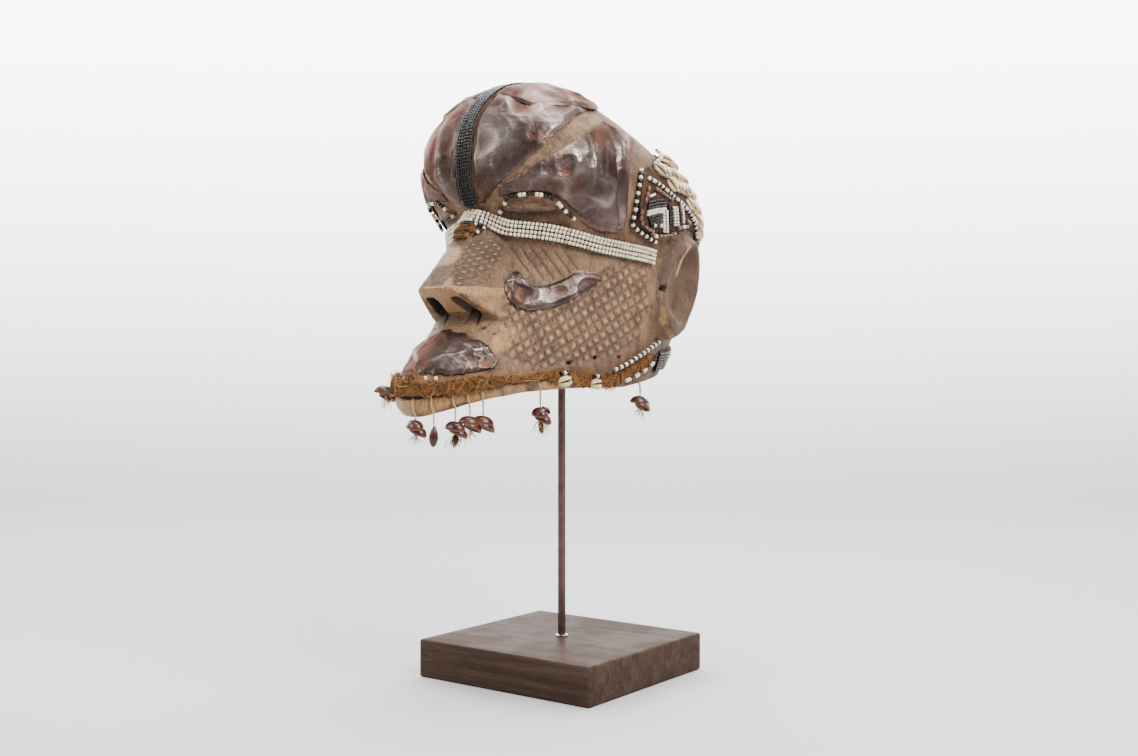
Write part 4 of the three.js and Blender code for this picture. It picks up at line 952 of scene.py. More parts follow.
def frames_on(normals, along=None):
    """Turning matrices whose third axis is the normal and whose first follows a direction."""
    normals = unit(np.asarray(normals, float))
    guide = np.broadcast_to(np.array([0.0, 0.0, 1.0]) if along is None else along, normals.shape)
    first = unit(guide - np.sum(guide * normals, -1, keepdims=True) * normals)
    flat = np.linalg.norm(np.cross(guide, normals), axis=-1) < 1e-3
    first = np.where(flat[:, None], unit(np.cross(normals, (0.0, 1.0, 0.0))), first)
    return np.stack([first, np.cross(normals, first), normals], 1)


def repeat_shape(local, faces, centres, frames, scales=None):
    """Copies one small mesh to many centres, turned by frames and scaled; returns points and faces."""
    scales = np.ones((len(centres), 3)) if scales is None else np.broadcast_to(scales, (len(centres), 3))
    points = np.einsum("npk,nkj->npj", local[None] * scales[:, None], frames) + np.asarray(centres)[:, None]
    first = (np.arange(len(centres)) * len(local))[:, None, None]
    return points.reshape(-1, 3), [(f[None] + first).reshape(-1, f.shape[1]) for f in faces]


def tacks(outline, side, ways, inset=0.06):
    """Small tacks just inside both edges of a sheet, at these shares of its length."""
    spots = []
    for way in ways:
        first, last = through(outline[0], np.array(way)), through(outline[1], np.array(way))
        spots += [first * (1 - inset) + last * inset, first * inset + last * (1 - inset)]
    angle, share = np.array(spots).T
    angle = angle * side
    centres = on_face(angle, share, np.full(len(angle), SHEET_LIFT + SHEET_THICKNESS + 0.25))
    points, faces = domes(centres, normal_of(face_point, angle, share), TACK_RADIUS, 0.7)
    count = len(points)
    return points, faces, copper, {"proud": np.full(count, 0.7), "edge": np.zeros(count)}


def ridged(base, size, seed, sharp=6.4):
    """Sharp-crested folds: 1 along the crests of a smooth noise and 0 away from them."""
    return (1.0 - np.abs(lumps(base, size, seed))) ** sharp


def soft_folds(angle, share, base):
    """Long low folds."""
    return ridged(base * (1.0, 1.0, 0.5), 22.0, 41, 3.2)


def temple_crumple(angle, share, base):
    """Upright folds in the middle of the temple, where the sheet was squeezed to follow the swelling."""
    zone = np.exp(-((angle - 52.0) / 10.0) ** 2 - ((share - 0.345) / 0.045) ** 2)
    low = np.exp(-((angle - 62.0) / 8.0) ** 2 - ((share - 0.47) / 0.05) ** 2)
    upright = base * (1.0, 1.0, 0.35)
    return zone * ridged(upright, 11.0, 43, 3.6) * 3.2 + (0.3 + low * 0.7) * ridged(base, 18.0, 44, 3.2) * 1.4


def lip_crumple(angle, share, base):
    """A long crease along each side of the lip and small wrinkles near its corners."""
    crease = np.exp(-((share - (0.862 - 0.0011 * angle)) / 0.006) ** 2) * smooth(3.0, 12.0, angle)
    corner = smooth(14.0, 26.0, angle)
    return crease * 1.6 + corner * ridged(base, 8.0, 45) * 0.9


def leaf_crumple(angle, share, base):
    """One bend across the leaf."""
    return ridged(base * (0.6, 1.0, 1.0), 24.0, 46)


SIDES = (("near", 1), ("far", -1))
for which, side in SIDES:
    seed = 100 if side > 0 else 200
    centre = [hammered(CENTRE_SHEET, 130, 56, side, seed, soft_folds),
              hammered(CROWN_FLAP, 70, 40, side, seed + 10, soft_folds, SHEET_LIFT + 1.5, ragged=0.05),
              tacks(CENTRE_SHEET, side, (0.03, 0.2, 0.36, 0.5, 0.62))]
    piece("centre_copper_" + which, centre, ["centre_sheet_" + which])
    temple = [hammered(TEMPLE_SHEET, 130, 82, side, seed + 20, temple_crumple),
              tacks(TEMPLE_SHEET, side, (0.04, 0.22, 0.42, 0.6, 0.78, 0.95))]
    piece("temple_copper_" + which, temple, ["temple_sheet_" + which])
    strip = [hammered(TEMPLE_STRIP, 110, 22, side, seed + 30, soft_folds, SHEET_LIFT + 0.6, ragged=0.15),
             tacks(TEMPLE_STRIP, side, (0.06, 0.35, 0.65, 0.94), inset=0.16)]
    piece("strip_copper_" + which, strip, ["temple_strip_" + which])
    leaf = [hammered(CHEEK_LEAF, 90, 34, side, seed + 40, leaf_crumple, ragged=0.12),
            tacks(CHEEK_LEAF, side, (0.06, 0.5, 0.93), inset=0.12)]
    piece("leaf_copper_" + which, leaf, ["cheek_leaf_" + which])
lip = [hammered(LIP_SHEET, 150, 50, 1, 300, lip_crumple, ragged=0.45),
       tacks(LIP_SHEET, 1, (0.04, 0.2, 0.35, 0.65, 0.8, 0.96))]
piece("lip_copper", lip, ["lip_sheet"])

# The bead bands: rows of small glass beads strung on fibre and couched to a dark strip. The black band
# runs from the nose bridge over the crown; the white one crosses the face from ear to ear.
glass, tree, shader = material("bead_glass", Specular_IOR_Level=0.32)
where = place_on(tree)
dirt = use(tree, grime, {"Vector": where, "Patches": 120.0, "Specks": 900.0})
pale = mark(tree, "pale")
black = mix(tree, dirt["Patch"], (0.003, 0.003, 0.0035), (0.010, 0.009, 0.008))
amber = mix(tree, dirt["Speck"], (0.135, 0.066, 0.037), (0.055, 0.024, 0.014))
white = mix(tree, patches(tree, where, 330.0, 0.35, 0.7, 2.0), (0.82, 0.76, 0.62), (0.66, 0.54, 0.35))
white = mix(tree, between(tree, pale, 0.78, 0.95), (0.52, 0.40, 0.23), white)
tone = mix(tree, between(tree, pale, 0.2, 0.3), black, amber)
tone = mix(tree, between(tree, pale, 0.58, 0.66), tone, white)
tone = over(tree, tone, dirt["Speck"], 0.2, (0.10, 0.062, 0.038))
# Painted highlight: a pale grey line along the top of some beads.
tone = mix(tree, between(tree, mark(tree, "worn"), 0.25, 0.8), tone, (0.40, 0.37, 0.33))
finish(tree, shader, tone, bump(tree, cloud(tree, where, 1200.0, 2.0), 0.0002, 0.25),
       sums(tree, "ADD", times(tree, pale, 0.22), 0.16))

backing, tree, shader = material("band_backing", Roughness=0.85)
threads = cloud(tree, place_on(tree), 900.0, 2.0)
tone = mix(tree, between(tree, threads, 0.4, 0.65), (0.030, 0.020, 0.015), (0.085, 0.055, 0.036))
finish(tree, shader, tone, bump(tree, threads, 0.0006, 0.8))

# The shades of a bead, as the mark that its colour is read from.
BLACK, BROWNED, AMBER, YELLOWED, WHITE = 0.0, 0.2, 0.45, 0.8, 1.0


def bead_shape():
    """A short barrel with a hole, along X: the bulge, two shoulders and the bore, turned round X."""
    sides = 8
    profile = np.array([(-0.44, 0.74), (-0.30, 0.97), (0.0, 1.03), (0.30, 0.97), (0.44, 0.74), (0.42, 0.36),
                        (-0.42, 0.36)])
    turns = np.arange(sides) * 2 * math.pi / sides
    x, r = profile.T
    points = np.stack([np.repeat(x[None], sides, 0), 0.5 * r * np.cos(turns)[:, None],
                       0.5 * r * np.sin(turns)[:, None]], -1).reshape(-1, 3)
    n = len(profile)
    i, j = np.meshgrid(np.arange(sides), np.arange(n), indexing="ij")
    a, b = i * n + j, (i + 1) % sides * n + j
    quads = np.stack([a, i * n + (j + 1) % n, (i + 1) % sides * n + (j + 1) % n, b], -1).reshape(-1, 4)
    return points, facing_out(points, [quads])


BEAD_POINTS, BEAD_FACES = bead_shape()


def beads(centres, along, normals, length, width, pale_values, seed, worn=0.0):
    """One bead at each centre with its hole along a direction; sizes and tilts vary a little. The last
    argument says how much of a painted highlight, a pale grey line along its top, each bead has."""
    rng = np.random.default_rng(seed)
    count = len(centres)
    along = unit(along + rng.normal(0.0, 0.05, (count, 3)))
    normals = unit(normals - np.sum(normals * along, -1, keepdims=True) * along)
    frames = np.stack([along, np.cross(normals, along), normals], 1)
    scales = np.stack([length * rng.uniform(0.88, 1.05, count), width * rng.uniform(0.92, 1.06, count),
                       width * rng.uniform(0.92, 1.06, count)], -1)
    points, faces = repeat_shape(BEAD_POINTS, BEAD_FACES, centres, frames, scales)
    tones = np.clip(np.asarray(pale_values) + rng.normal(0.0, 0.03, count), 0.0, 1.0)
    top = (BEAD_POINTS[:, 2] > 0.3) & (np.abs(BEAD_POINTS[:, 1]) < 0.1)
    painted_highlight_marks = (np.broadcast_to(worn, count)[:, None] * rng.uniform(0.4, 1.0, (count, 1)) * top).ravel()
    return points, faces, glass, {"pale": np.repeat(tones, len(BEAD_POINTS)), "worn": painted_highlight_marks}


def route_stations(route, step, lift=0.0):
    """Even stations along a route of [angle, share] points: (points, directions, normals)."""
    fine = through(route, np.linspace(0.0, 1.0, 600))
    line = face_point(fine[:, 0], fine[:, 1])
    gone = np.concatenate([[0.0], np.cumsum(np.linalg.norm(np.diff(line, axis=0), axis=-1))])
    marks_at = np.arange(step / 2, gone[-1], step)
    angle, share = np.interp(marks_at, gone, fine[:, 0]), np.interp(marks_at, gone, fine[:, 1])
    normals = normal_of(face_point, angle, share)
    ease = np.ones(7) / 7.0
    padded = np.pad(normals, ((3, 3), (0, 0)), mode="edge")
    normals = unit(np.stack([np.convolve(padded[:, k], ease, "valid") for k in range(3)], -1))
    points = face_point(angle, share) + normals * lift
    return points, unit(np.gradient(points, axis=0)), normals


def strip_under(points, along, normals, width, low, thickness, made=None, rough=0.0, seed=0):
    """A flat strip with rounded edges along a row of stations, closed at both ends; rough gives it an
    uneven surface."""
    across = np.cross(normals, along)
    bend = np.linspace(0.0, 2 * math.pi, 12, endpoint=False)
    flat = np.sign(np.cos(bend)) * np.abs(np.cos(bend)) ** 0.35 * width / 2
    thick = low + thickness / 2 + np.sin(bend) * thickness / 2
    across, up = across[:, None], normals[:, None]
    ring_points = points[:, None] + across * flat[:, None] + up * thick[:, None]
    outward = up * np.sin(bend)[:, None] + across * np.cos(bend)[:, None]
    ring_points = ring_points + outward * lumps(ring_points, 5.0, seed)[..., None] * rough
    count = len(bend)
    total = len(points) * count
    faces = [grid_faces(len(points), count, close=True), np.arange(count)[None, ::-1],
             np.arange(total - count, total)[None]]
    return ring_points.reshape(-1, 3), facing_out(ring_points, faces), made or backing, {}


def bead_rows(points, along, normals, rows, pitch, bead_length, bead_width, low, tones, seed, worn=0.0):
    """Parallel rows of beads over a strip; tones is the usual shade, a rare one and the share of beads that
    have it, and the last argument is the painted highlight, a pale grey line along each bead's top, by
    station."""
    usual, rare, rare_share = tones
    across = np.cross(normals, along)
    rng = np.random.default_rng(seed)
    centres, directions, uprights, shades = [], [], [], []
    for row in range(rows):
        shift = (row - (rows - 1) / 2) * pitch
        sway = np.cumsum(rng.normal(0.0, 0.05, len(points)))
        sway = np.clip(sway - np.linspace(sway[0], sway[-1], len(sway)), -0.35, 0.35)
        centres.append(points + across * (shift + sway)[:, None] + normals * (low + bead_width / 2)
                       + along * rng.uniform(-0.3, 0.3) * bead_length)
        directions.append(along)
        uprights.append(normals)
        shades.append(np.where(rng.random(len(points)) < rare_share, rare, usual))
    # the painted highlight of each bead, by station
    painted_highlight_line = np.tile(np.broadcast_to(worn, len(points)), rows)
    return beads(np.concatenate(centres), np.concatenate(directions), np.concatenate(uprights), bead_length,
                 bead_width, np.concatenate(shades), seed + 1, painted_highlight_line)


BLACK_BAND_ROUTE = 0.475, -0.165
reach = np.linspace(*BLACK_BAND_ROUTE, 500)
band_line = face_point(np.where(reach > 0, 0.0, 180.0), np.maximum(np.abs(reach), 0.012))
band_gone = np.concatenate([[0.0], np.cumsum(np.linalg.norm(np.diff(band_line, axis=0), axis=-1))])
BAND_STEP = 3.1
stops = np.arange(1.0, band_gone[-1], BAND_STEP)
kernel = np.ones(9) / 9.0
band_points = np.stack([np.interp(stops, band_gone, band_line[:, k]) for k in range(3)], -1)
smoothed = np.pad(band_points, ((4, 4), (0, 0)), mode="reflect", reflect_type="odd")
band_points = np.stack([np.convolve(smoothed[:, k], kernel, "valid") for k in range(3)], -1)
band_along = unit(np.gradient(band_points, axis=0))
band_across = np.broadcast_to([1.0, 0.0, 0.0], band_points.shape)
band_normals = unit(np.cross(band_along, band_across))
band_normals = band_normals * np.sign(band_normals[:, 2:].sum() + 1e-9)
band_stations = band_points, band_along, band_normals
# The black beads carry a painted highlight, a pale grey line along each top, where the band crosses the swell
# of the forehead.
gone_share = np.linspace(0.0, 1.0, len(band_points))
band_painted_highlight = 0.62 * np.exp(-((gone_share - 0.24) / 0.13) ** 2)
black_band = [strip_under(*band_stations, 17.6, 1.6, 1.3),
              bead_rows(*band_stations, 6, 2.8, BAND_STEP, 2.5, 2.6, (BLACK, BROWNED, 0.04), 20, band_painted_highlight)]
piece("black_bead_band", black_band, ["black_band"])


def both_ways(half, middle, at=0):
    """A line on both sides of the mask, from its near half and its share in the middle, which is at angle
    0 in front or 180 behind."""
    return half + [[at, middle]] + [[2 * at - a, v] for a, v in reversed(half)]


WHITE_ROUTE_NEAR = [[89, 0.618], [79, 0.613], [68, 0.608], [57, 0.6], [46, 0.586], [36, 0.575], [26, 0.568],
                    [18, 0.562], [11, 0.55], [5, 0.535]]
white_stations = route_stations(both_ways(WHITE_ROUTE_NEAR, 0.53), 3.7, lift=0.8)
white_band = [strip_under(*white_stations, 16.6, 1.2, 1.4),
              bead_rows(*white_stations, 4, 3.95, 3.3, 3.3, 2.3, (WHITE, YELLOWED, 0.12), 30)]
piece("white_bead_band", white_band, ["white_band"])

# The bead strings: larger black and white beads on a thread, over each eyelid, down the front edge of
# the cloth and under each ear.
STRING_BEAD = 4.0
STRINGS = {
    "eye_string": ([[14.5, 0.503], [17, 0.48], [19, 0.452], [25, 0.442], [31, 0.439], [36, 0.443],
                    [40, 0.455], [43, 0.485], [47, 0.516]], "y..wbbbbwwbbwwbbb.wwbwbb"),
    "cloth_string": ([[86, 0.325], [83, 0.37], [79.8, 0.42], [77, 0.465],
                      [74, 0.517], [78, 0.545], [84, 0.565], [90, 0.576]], "wb"),
    "ear_string_upper": ([[80, 0.92], [84, 0.905], [90, 0.883], [97, 0.857], [104, 0.833]], "wbwb"),
    "ear_string_lower": ([[88, 0.962], [93, 0.95], [98, 0.935], [104, 0.91], [104, 0.87]], "wwbb"),
}
TONES = {"w": WHITE, "y": YELLOWED, "b": BLACK, "a": AMBER}


def bead_string(route, pattern, side, seed, width=STRING_BEAD, lift=0.9, gap=0.95):
    """Beads on a thread along a route; the pattern gives their colours and repeats, a dot is a gap."""
    mirrored = [[a * side, v] for a, v in route]
    points, along, normals = route_stations(mirrored, width * gap, lift)
    letters = [pattern[i % len(pattern)] for i in range(len(points))]
    kept = [i for i, letter in enumerate(letters) if letter != "."]
    shades = [TONES[letters[i]] for i in kept]
    thread = strip_under(points, along, normals, 1.0, width / 2 - 0.5, 1.0)
    return [beads(points[kept] + normals[kept] * (width / 2), along[kept], normals[kept], width * gap, width,
                  shades, seed), thread]


for name, (route, pattern) in STRINGS.items():
    for which, side in SIDES:
        lift = 3.2 if name == "eye_string" else 1.6
        piece(f"{name}_beads_{which}", bead_string(route, pattern, side, 40 + side, lift=lift),
              [f"{name}_{which}"])

# The tie on the nose bridge: a wad of raffia under the white band, with a scrap of dark beadwork and a
# short string of black and white beads down its near edge.
raffia, tree, shader = material("raffia", Roughness=0.8, Specular_IOR_Level=0.25)
where = place_on(tree)
tone = mix(tree, mark(tree, "tint"), (0.060, 0.023, 0.007), (0.34, 0.155, 0.044))
tone = over(tree, tone, patches(tree, where, 900.0, 0.45, 0.7, 3.0), 0.45, (0.045, 0.020, 0.009))
tone = over(tree, tone, patches(tree, where, 55.0, 0.48, 0.68), 0.45, (0.040, 0.021, 0.011))
# A tint above 1 is the clean pale fibre of the pendants' cords.
tone = mix(tree, between(tree, mark(tree, "tint"), 1.0, 2.0), tone, (0.46, 0.31, 0.17))
finish(tree, shader, tone, bump(tree, cloud(tree, where, 1500.0, 3.0), 0.0005, 0.8))


def strands(paths, radius, tints, sides=4):
    """Thin fibres that taper at both ends: paths is (fibres, stations, 3), with one tint for each."""
    count, stations = paths.shape[:2]
    along = unit(np.gradient(paths, axis=1))
    heading = unit(paths[:, -1] - paths[:, 0])
    guide = np.where(np.abs(heading[:, 2:]) > 0.8, (1.0, 0.3, 0.0), (0.0, 0.2, 1.0))[:, None]
    first = unit(np.cross(along, guide))
    second = np.cross(along, first)
    turns = np.arange(sides) * 2 * math.pi / sides
    taper = np.broadcast_to(radius, count)[:, None] * np.sin(np.linspace(0.2, math.pi - 0.2, stations)) ** 0.6
    rings = paths[:, :, None] + (first[:, :, None] * np.cos(turns)[:, None] + second[:, :, None]
                                 * np.sin(turns)[:, None]) * taper[:, :, None, None]
    size = stations * sides
    starts = (np.arange(count) * size)[:, None, None]
    local = [grid_faces(stations, sides, close=True), np.arange(sides)[None, ::-1],
             np.arange(size - sides, size)[None]]
    faces = [(f[None] + starts).reshape(-1, f.shape[1]) for f in local]
    return rings.reshape(-1, 3), facing_out(rings, faces), raffia, {"tint": np.repeat(tints, size)}


def frayed(route, count, length, spread, low, high, stray, seed, stations=10, thick=0.42, mat=0.16):
    """Fibres laid along a route of [angle, share] points. Each runs on for some way and wanders across
    the bundle, the more so the more it is matted; one in three has an end that lifts off by up to the
    stray height."""
    rng = np.random.default_rng(seed)
    points, along, normals = route_stations(route, 1.0)
    across = np.cross(normals, along)
    reach = rng.uniform(*length, count)
    start = rng.uniform(0.0, 1.0, count) * (len(points) - 1.01 - reach)
    f = np.linspace(0.0, 1.0, stations)
    at = start[:, None] + reach[:, None] * f
    i = at.astype(int)
    t = (at - i)[..., None]
    phase = rng.uniform(0.0, 2 * math.pi, (3, count, 1))
    aside = (rng.uniform(-1.0, 1.0, (count, 1)) * spread * (0.58 - mat)
             + np.sin(f * 4.0 + phase[0]) * spread * mat + np.sin(f * 9.0 + phase[1]) * spread * mat * 0.4)
    lifted = rng.uniform(0.0, stray, (count, 1)) * (rng.random((count, 1)) < 0.34) * f ** 2
    rise = rng.uniform(low, high, (count, 1)) + np.sin(f * 7.0 + phase[2]) * 0.5 + lifted
    aside = aside + np.sign(aside[:, -1:]) * lifted * 0.7
    middle, sideways, up = (way[i] * (1 - t) + way[i + 1] * t for way in (points, across, normals))
    paths = middle + sideways * aside[..., None] + up * rise[..., None]
    return strands(paths, rng.uniform(0.6, 1.0, count) * thick, rng.random(count))


def wad(route, width, low, thickness, rough, seed):
    """A lumpy core of pressed fibre along a route."""
    core = strip_under(*route_stations(route, 1.5), width, low, thickness, raffia, rough, seed)
    tint = 0.35 + 0.3 * lumps(np.reshape(core[0], (-1, 3)), 4.0, seed + 1)
    return (*core[:3], {"tint": tint})


TIE_ROUTE = [[-7, 0.578], [0, 0.574], [7, 0.578]]
TIE_LOW_ROUTE = [[-6, 0.594], [0, 0.592], [6, 0.592]]
tie = [wad(TIE_ROUTE, 7.5, 0.6, 3.4, 0.7, 60), wad(TIE_LOW_ROUTE, 7.0, 0.6, 2.6, 0.8, 62),
       frayed(TIE_ROUTE, 60, (8.0, 15.0), 8.0, 3.0, 4.6, 2.0, 64, thick=0.34),
       frayed(TIE_LOW_ROUTE, 80, (7.0, 13.0), 8.0, 2.4, 4.2, 3.0, 66, thick=0.34)]
tie += bead_string([[3.5, 0.562], [7.5, 0.566], [9.0, 0.576], [7.5, 0.592]], "bwb", 1, 68, width=3.0,
                   lift=2.4)
tie += bead_string([[1.0, 0.568], [4.0, 0.572], [5.0, 0.586]], "b", 1, 70, width=2.4, lift=3.4)
piece("bridge_wad", tie, ["bridge_tie"])

# The back cloth: brown woven stuff wrapped round the back of the head from temple to temple, sewn with
# rows of ground-open cowries, a beaded chevron beside each temple and loose strings of beads.
cloth, tree, shader = material("brown_cloth", Roughness=0.92, Specular_IOR_Level=0.25)
where = place_on(tree)
threads = uv_on(tree)
warp = sums(tree, "SINE", times(tree, threads["X"], 4.8))
weft = sums(tree, "SINE", times(tree, threads["Y"], 4.2))
weave = sums(tree, "ADD", times(tree, sums(tree, "MAXIMUM", warp, weft), 0.5), 0.5)
tone = mix(tree, patches(tree, where, 45.0, 0.35, 0.65, 5.0), (0.036, 0.017, 0.010), (0.090, 0.044, 0.022))
tone = over(tree, tone, sums(tree, "SUBTRACT", 1.0, weave), 0.5, (0.018, 0.010, 0.007))
tone = over(tree, tone, patches(tree, where, 700.0, 0.55, 0.7, 2.0), 0.4, (0.17, 0.10, 0.06))
relief = bump(tree, weave, 0.0006, 0.8)
finish(tree, shader, tone, bump(tree, cloud(tree, where, 260.0), 0.001, 0.6, relief))

shell, tree, shader = material("cowrie_shell", Roughness=0.34, Coat_Weight=0.25, Coat_Roughness=0.25)
where = place_on(tree)
dirt = use(tree, grime, {"Vector": where, "Patches": 140.0, "Specks": 800.0})
tone = mix(tree, patches(tree, where, 90.0, 0.35, 0.65), (0.44, 0.30, 0.14), (0.70, 0.56, 0.34))
tone = over(tree, tone, dirt["Patch"], 0.4, (0.22, 0.13, 0.065))
# Painted shade: the slit is near black, for the shade inside the shell's opening.
tone = mix(tree, between(tree, mark(tree, "slit"), 0.45, 0.8), tone, (0.022, 0.012, 0.008))
finish(tree, shader, tone, bump(tree, cloud(tree, where, 600.0, 3.0), 0.0003, 0.4))


def cowrie_shape():
    """A cowrie of length 1 along X, lying open side up: a low egg with two lips rolled in to a slit."""
    x = np.array([-0.5, -0.44, -0.28, -0.06, 0.18, 0.38, 0.5])
    profile = np.array([(-1.0, 0.0, 0), (-0.93, 0.62, 0), (-0.5, 1.0, 0), (-0.16, 0.86, 0), (-0.02, 0.20, 1),
                        (0.22, 0.22, 1), (0.36, 0.88, 0), (0.86, 0.72, 0), (1.0, 0.0, 0)])
    swell = np.sqrt(np.clip(1.0 - (np.abs(x) / 0.505) ** 2.4, 0.02, 1.0)) * (1.0 + 0.22 * x)
    across = profile[:, 0] * swell[:, None] * 0.36
    height = profile[:, 1] * swell[:, None] ** 0.8 * 0.34
    top = np.stack([np.repeat(x[:, None], len(profile), 1), across, height], -1)
    under = top * (0.96, 0.96, 0.0) - (0.0, 0.0, 0.05)
    points, faces = closed_sheet(top, under)
    # the slit's points carry the mark for its painted shade
    slit = np.tile(profile[:, 2], len(x)) * np.repeat((np.abs(x) < 0.47).astype(float), len(profile))
    return points, faces, np.concatenate([slit, slit * 0.0])


COWRIE_POINTS, COWRIE_FACES, COWRIE_SLIT_SHADE = cowrie_shape()


def cowries(centres, along, normals, length, seed):
    """Shells at these places with the slit along a direction; sizes, tilts and turns vary a little."""
    rng = np.random.default_rng(seed)
    count = len(centres)
    along = unit(along + rng.normal(0.0, 0.13, (count, 3)))
    normals = unit(normals + rng.normal(0.0, 0.12, (count, 3)))
    scales = length * rng.uniform(0.9, 1.08, (count, 1)) * rng.uniform(0.94, 1.06, (count, 3))
    points, faces = repeat_shape(COWRIE_POINTS, COWRIE_FACES, centres, frames_on(normals, along), scales)
    return points, faces, shell, {"slit": np.tile(COWRIE_SLIT_SHADE, count)}


CLOTH_THICKNESS = 1.3
CLOTH_EDGE_LIFT = 0.4


def laid_cloth(outline, rows, columns, low, seed, length):
    """A cloth round the back of the head with soft folds; it comes down to the wood at its frayed edge.
    uv is in mm."""
    angle, share = outline_grid(outline, rows, columns, 1, 0.45, seed, length)
    base = face_point(angle, share)
    u = np.abs(np.linspace(-1.0, 1.0, columns))[None, :]
    v = np.abs(np.linspace(-1.0, 1.0, rows))[:, None]
    bed = smooth(1.0, 0.80, u) * smooth(1.0, 0.97, v)
    height = low + np.abs(lumps(base, 16.0, seed + 2)) * 1.1 + lumps(base, 5.0, seed + 3) * 0.18
    height = CLOTH_EDGE_LIFT + (height - CLOTH_EDGE_LIFT) * bed
    top = on_face(angle, share, height + CLOTH_THICKNESS)
    points, faces = closed_sheet(top, on_face(angle, share, height))
    u = np.cumsum(np.linalg.norm(np.diff(base, axis=0, prepend=base[:1]), axis=-1), axis=0)
    v = np.cumsum(np.linalg.norm(np.diff(base, axis=1, prepend=base[:, :1]), axis=-1), axis=1)
    uv = np.stack([u, v], -1).reshape(-1, 2)
    return points, faces, cloth, {"uv": np.concatenate([uv, uv])}


SHELL_SLANT = -0.75
SHELL_LENGTH = 14.8
SHELL_STEP = 9.0
SHELL_LIFT = 5.8


def shell_row(route, seed):
    """Cowries side by side along a route, their slits aslant; those beside the ears are tipped forward."""
    points, along, normals = route_stations(route, SHELL_STEP, SHELL_LIFT)
    slanted = np.cross(normals, along) + along * SHELL_SLANT
    beside = smooth(-20.0, -70.0, points[:, 1] - 160.0)[:, None]
    tip = np.stack([np.sign(points[:, 0]) * 0.3, np.full(len(points), -0.9), np.full(len(points), 0.1)], -1)
    normals = unit(normals + beside * tip)
    return cowries(points, unit(slanted), normals, SHELL_LENGTH, seed)


BACK_CLOTH = (
    both_ways([[86.8, 0.328], [100, 0.285], [114, 0.252], [134, 0.22], [156, 0.195]], 0.19, 180),
    both_ways([[75.3, 0.515], [88, 0.556], [103, 0.500], [124, 0.48], [150, 0.545]], 0.58, 180))
SHELL_ROWS = ((0.281, 106.0), (0.318, 94.0), (0.355, 98.5), (0.396, 110.5), (0.437, 118.0), (0.478, 125.0))
BEAD_LOW = 4.6


def sewn_beads(route, pattern, side, seed, width=2.9, gap=0.92):
    """Beads sewn to the cloth along a route; a gap above 1 makes them long."""
    return bead_string(route, pattern, side, seed, width=width, lift=BEAD_LOW, gap=gap)


# The chevron's columns: angle, top and foot as shares, colour.
CHEVRON_COLUMNS = [
    (91.2, 0.452, 0.530, "w"), (92.7, 0.440, 0.526, "w"), (94.2, 0.418, 0.516, "b"),
    (95.4, 0.416, 0.510, "b"), (97.0, 0.420, 0.492, "w"), (98.8, 0.418, 0.484, "w"),
    (100.8, 0.412, 0.470, "b"), (103.2, 0.404, 0.466, "w")]
# Routes of [angle, share], colours, width and gap: over the top, two strings down behind the chevron,
# and the long brown beads before, above and below it.
CLOTH_STRINGS = [
    ([[93, 0.305], [98, 0.29], [106, 0.272], [116, 0.25], [121, 0.236]], "wbwbwwb", 3.8, 0.9),
    ([[87, 0.352], [90.5, 0.360], [94.5, 0.374], [99, 0.389], [104.5, 0.404], [110.5, 0.424],
      [115.5, 0.447], [118.5, 0.47], [120, 0.492]], "wbwwbwb", 3.6, 0.9),
    ([[86.4, 0.376], [84.4, 0.405], [82.6, 0.43]], "a", 3.6, 1.6),
    ([[89, 0.378], [92.6, 0.390], [97, 0.402]], "aa", 3.6, 1.6),
    ([[85.6, 0.41], [88.6, 0.398]], "w", 2.6, 0.9),
    ([[80.2, 0.455], [78.2, 0.485], [78.4, 0.508]], "a", 3.6, 1.6),
    ([[79.4, 0.516], [82.6, 0.528], [86, 0.535]], "a", 3.4, 1.6),
    ([[83.4, 0.543], [88.4, 0.553]], "aw", 3.6, 1.6),
    ([[89.2, 0.551], [95.6, 0.531], [98.6, 0.512]], "aa", 3.8, 1.6),
    ([[98.8, 0.498], [103.4, 0.484], [108, 0.476]], "aaw", 4.0, 1.5),
    ([[106, 0.455], [110, 0.462]], "aab", 3.6, 1.5),
    ([[122, 0.497], [130, 0.508], [150, 0.535], [180, 0.565]], "wbab", 3.4, 0.95)]


def cloth_beadwork(side, seed):
    """The beads on one side of the cloth: a square of rows that meet a block of upright columns, strings
    over and behind it, and long brown beads round its foot."""
    parts = []
    for k, tone in enumerate("bbbwwbbbbb"):
        front = [84.0 - 0.45 * min(k, 4) + 0.35 * max(k - 4, 0), 0.431 + 0.0105 * k]
        rear = [92.6 - 0.25 * k, 0.406 + 0.0105 * k]
        parts += sewn_beads([front, rear], tone, side, seed + k)
    for k, (at, top, foot, tone) in enumerate(CHEVRON_COLUMNS):
        parts += sewn_beads([[at, top], [at + 0.6, foot]], tone, side, seed + 10 + k, width=3.1)
    parts += sewn_beads([[85.2, 0.509], [90.5, 0.503]], "w..", side, seed + 20, width=3.8)
    for number, (route, pattern, width, gap) in enumerate(CLOTH_STRINGS):
        parts += sewn_beads(route, pattern, side, seed + 21 + number, width=width, gap=gap)
    return parts


back_parts = [laid_cloth(BACK_CLOTH, 260, 54, 3.0, 80, 480.0)]
for number, (share, first_angle) in enumerate(SHELL_ROWS):
    row = [[a, share + 0.004 * math.sin(a)] for a in np.linspace(first_angle, 360.0 - first_angle, 9)]
    back_parts.append(shell_row(row, 84 + number))
for side in (1, -1):
    back_parts += cloth_beadwork(side, 90 if side > 0 else 130)
piece("cowrie_cloth", back_parts, ["back_cloth"])

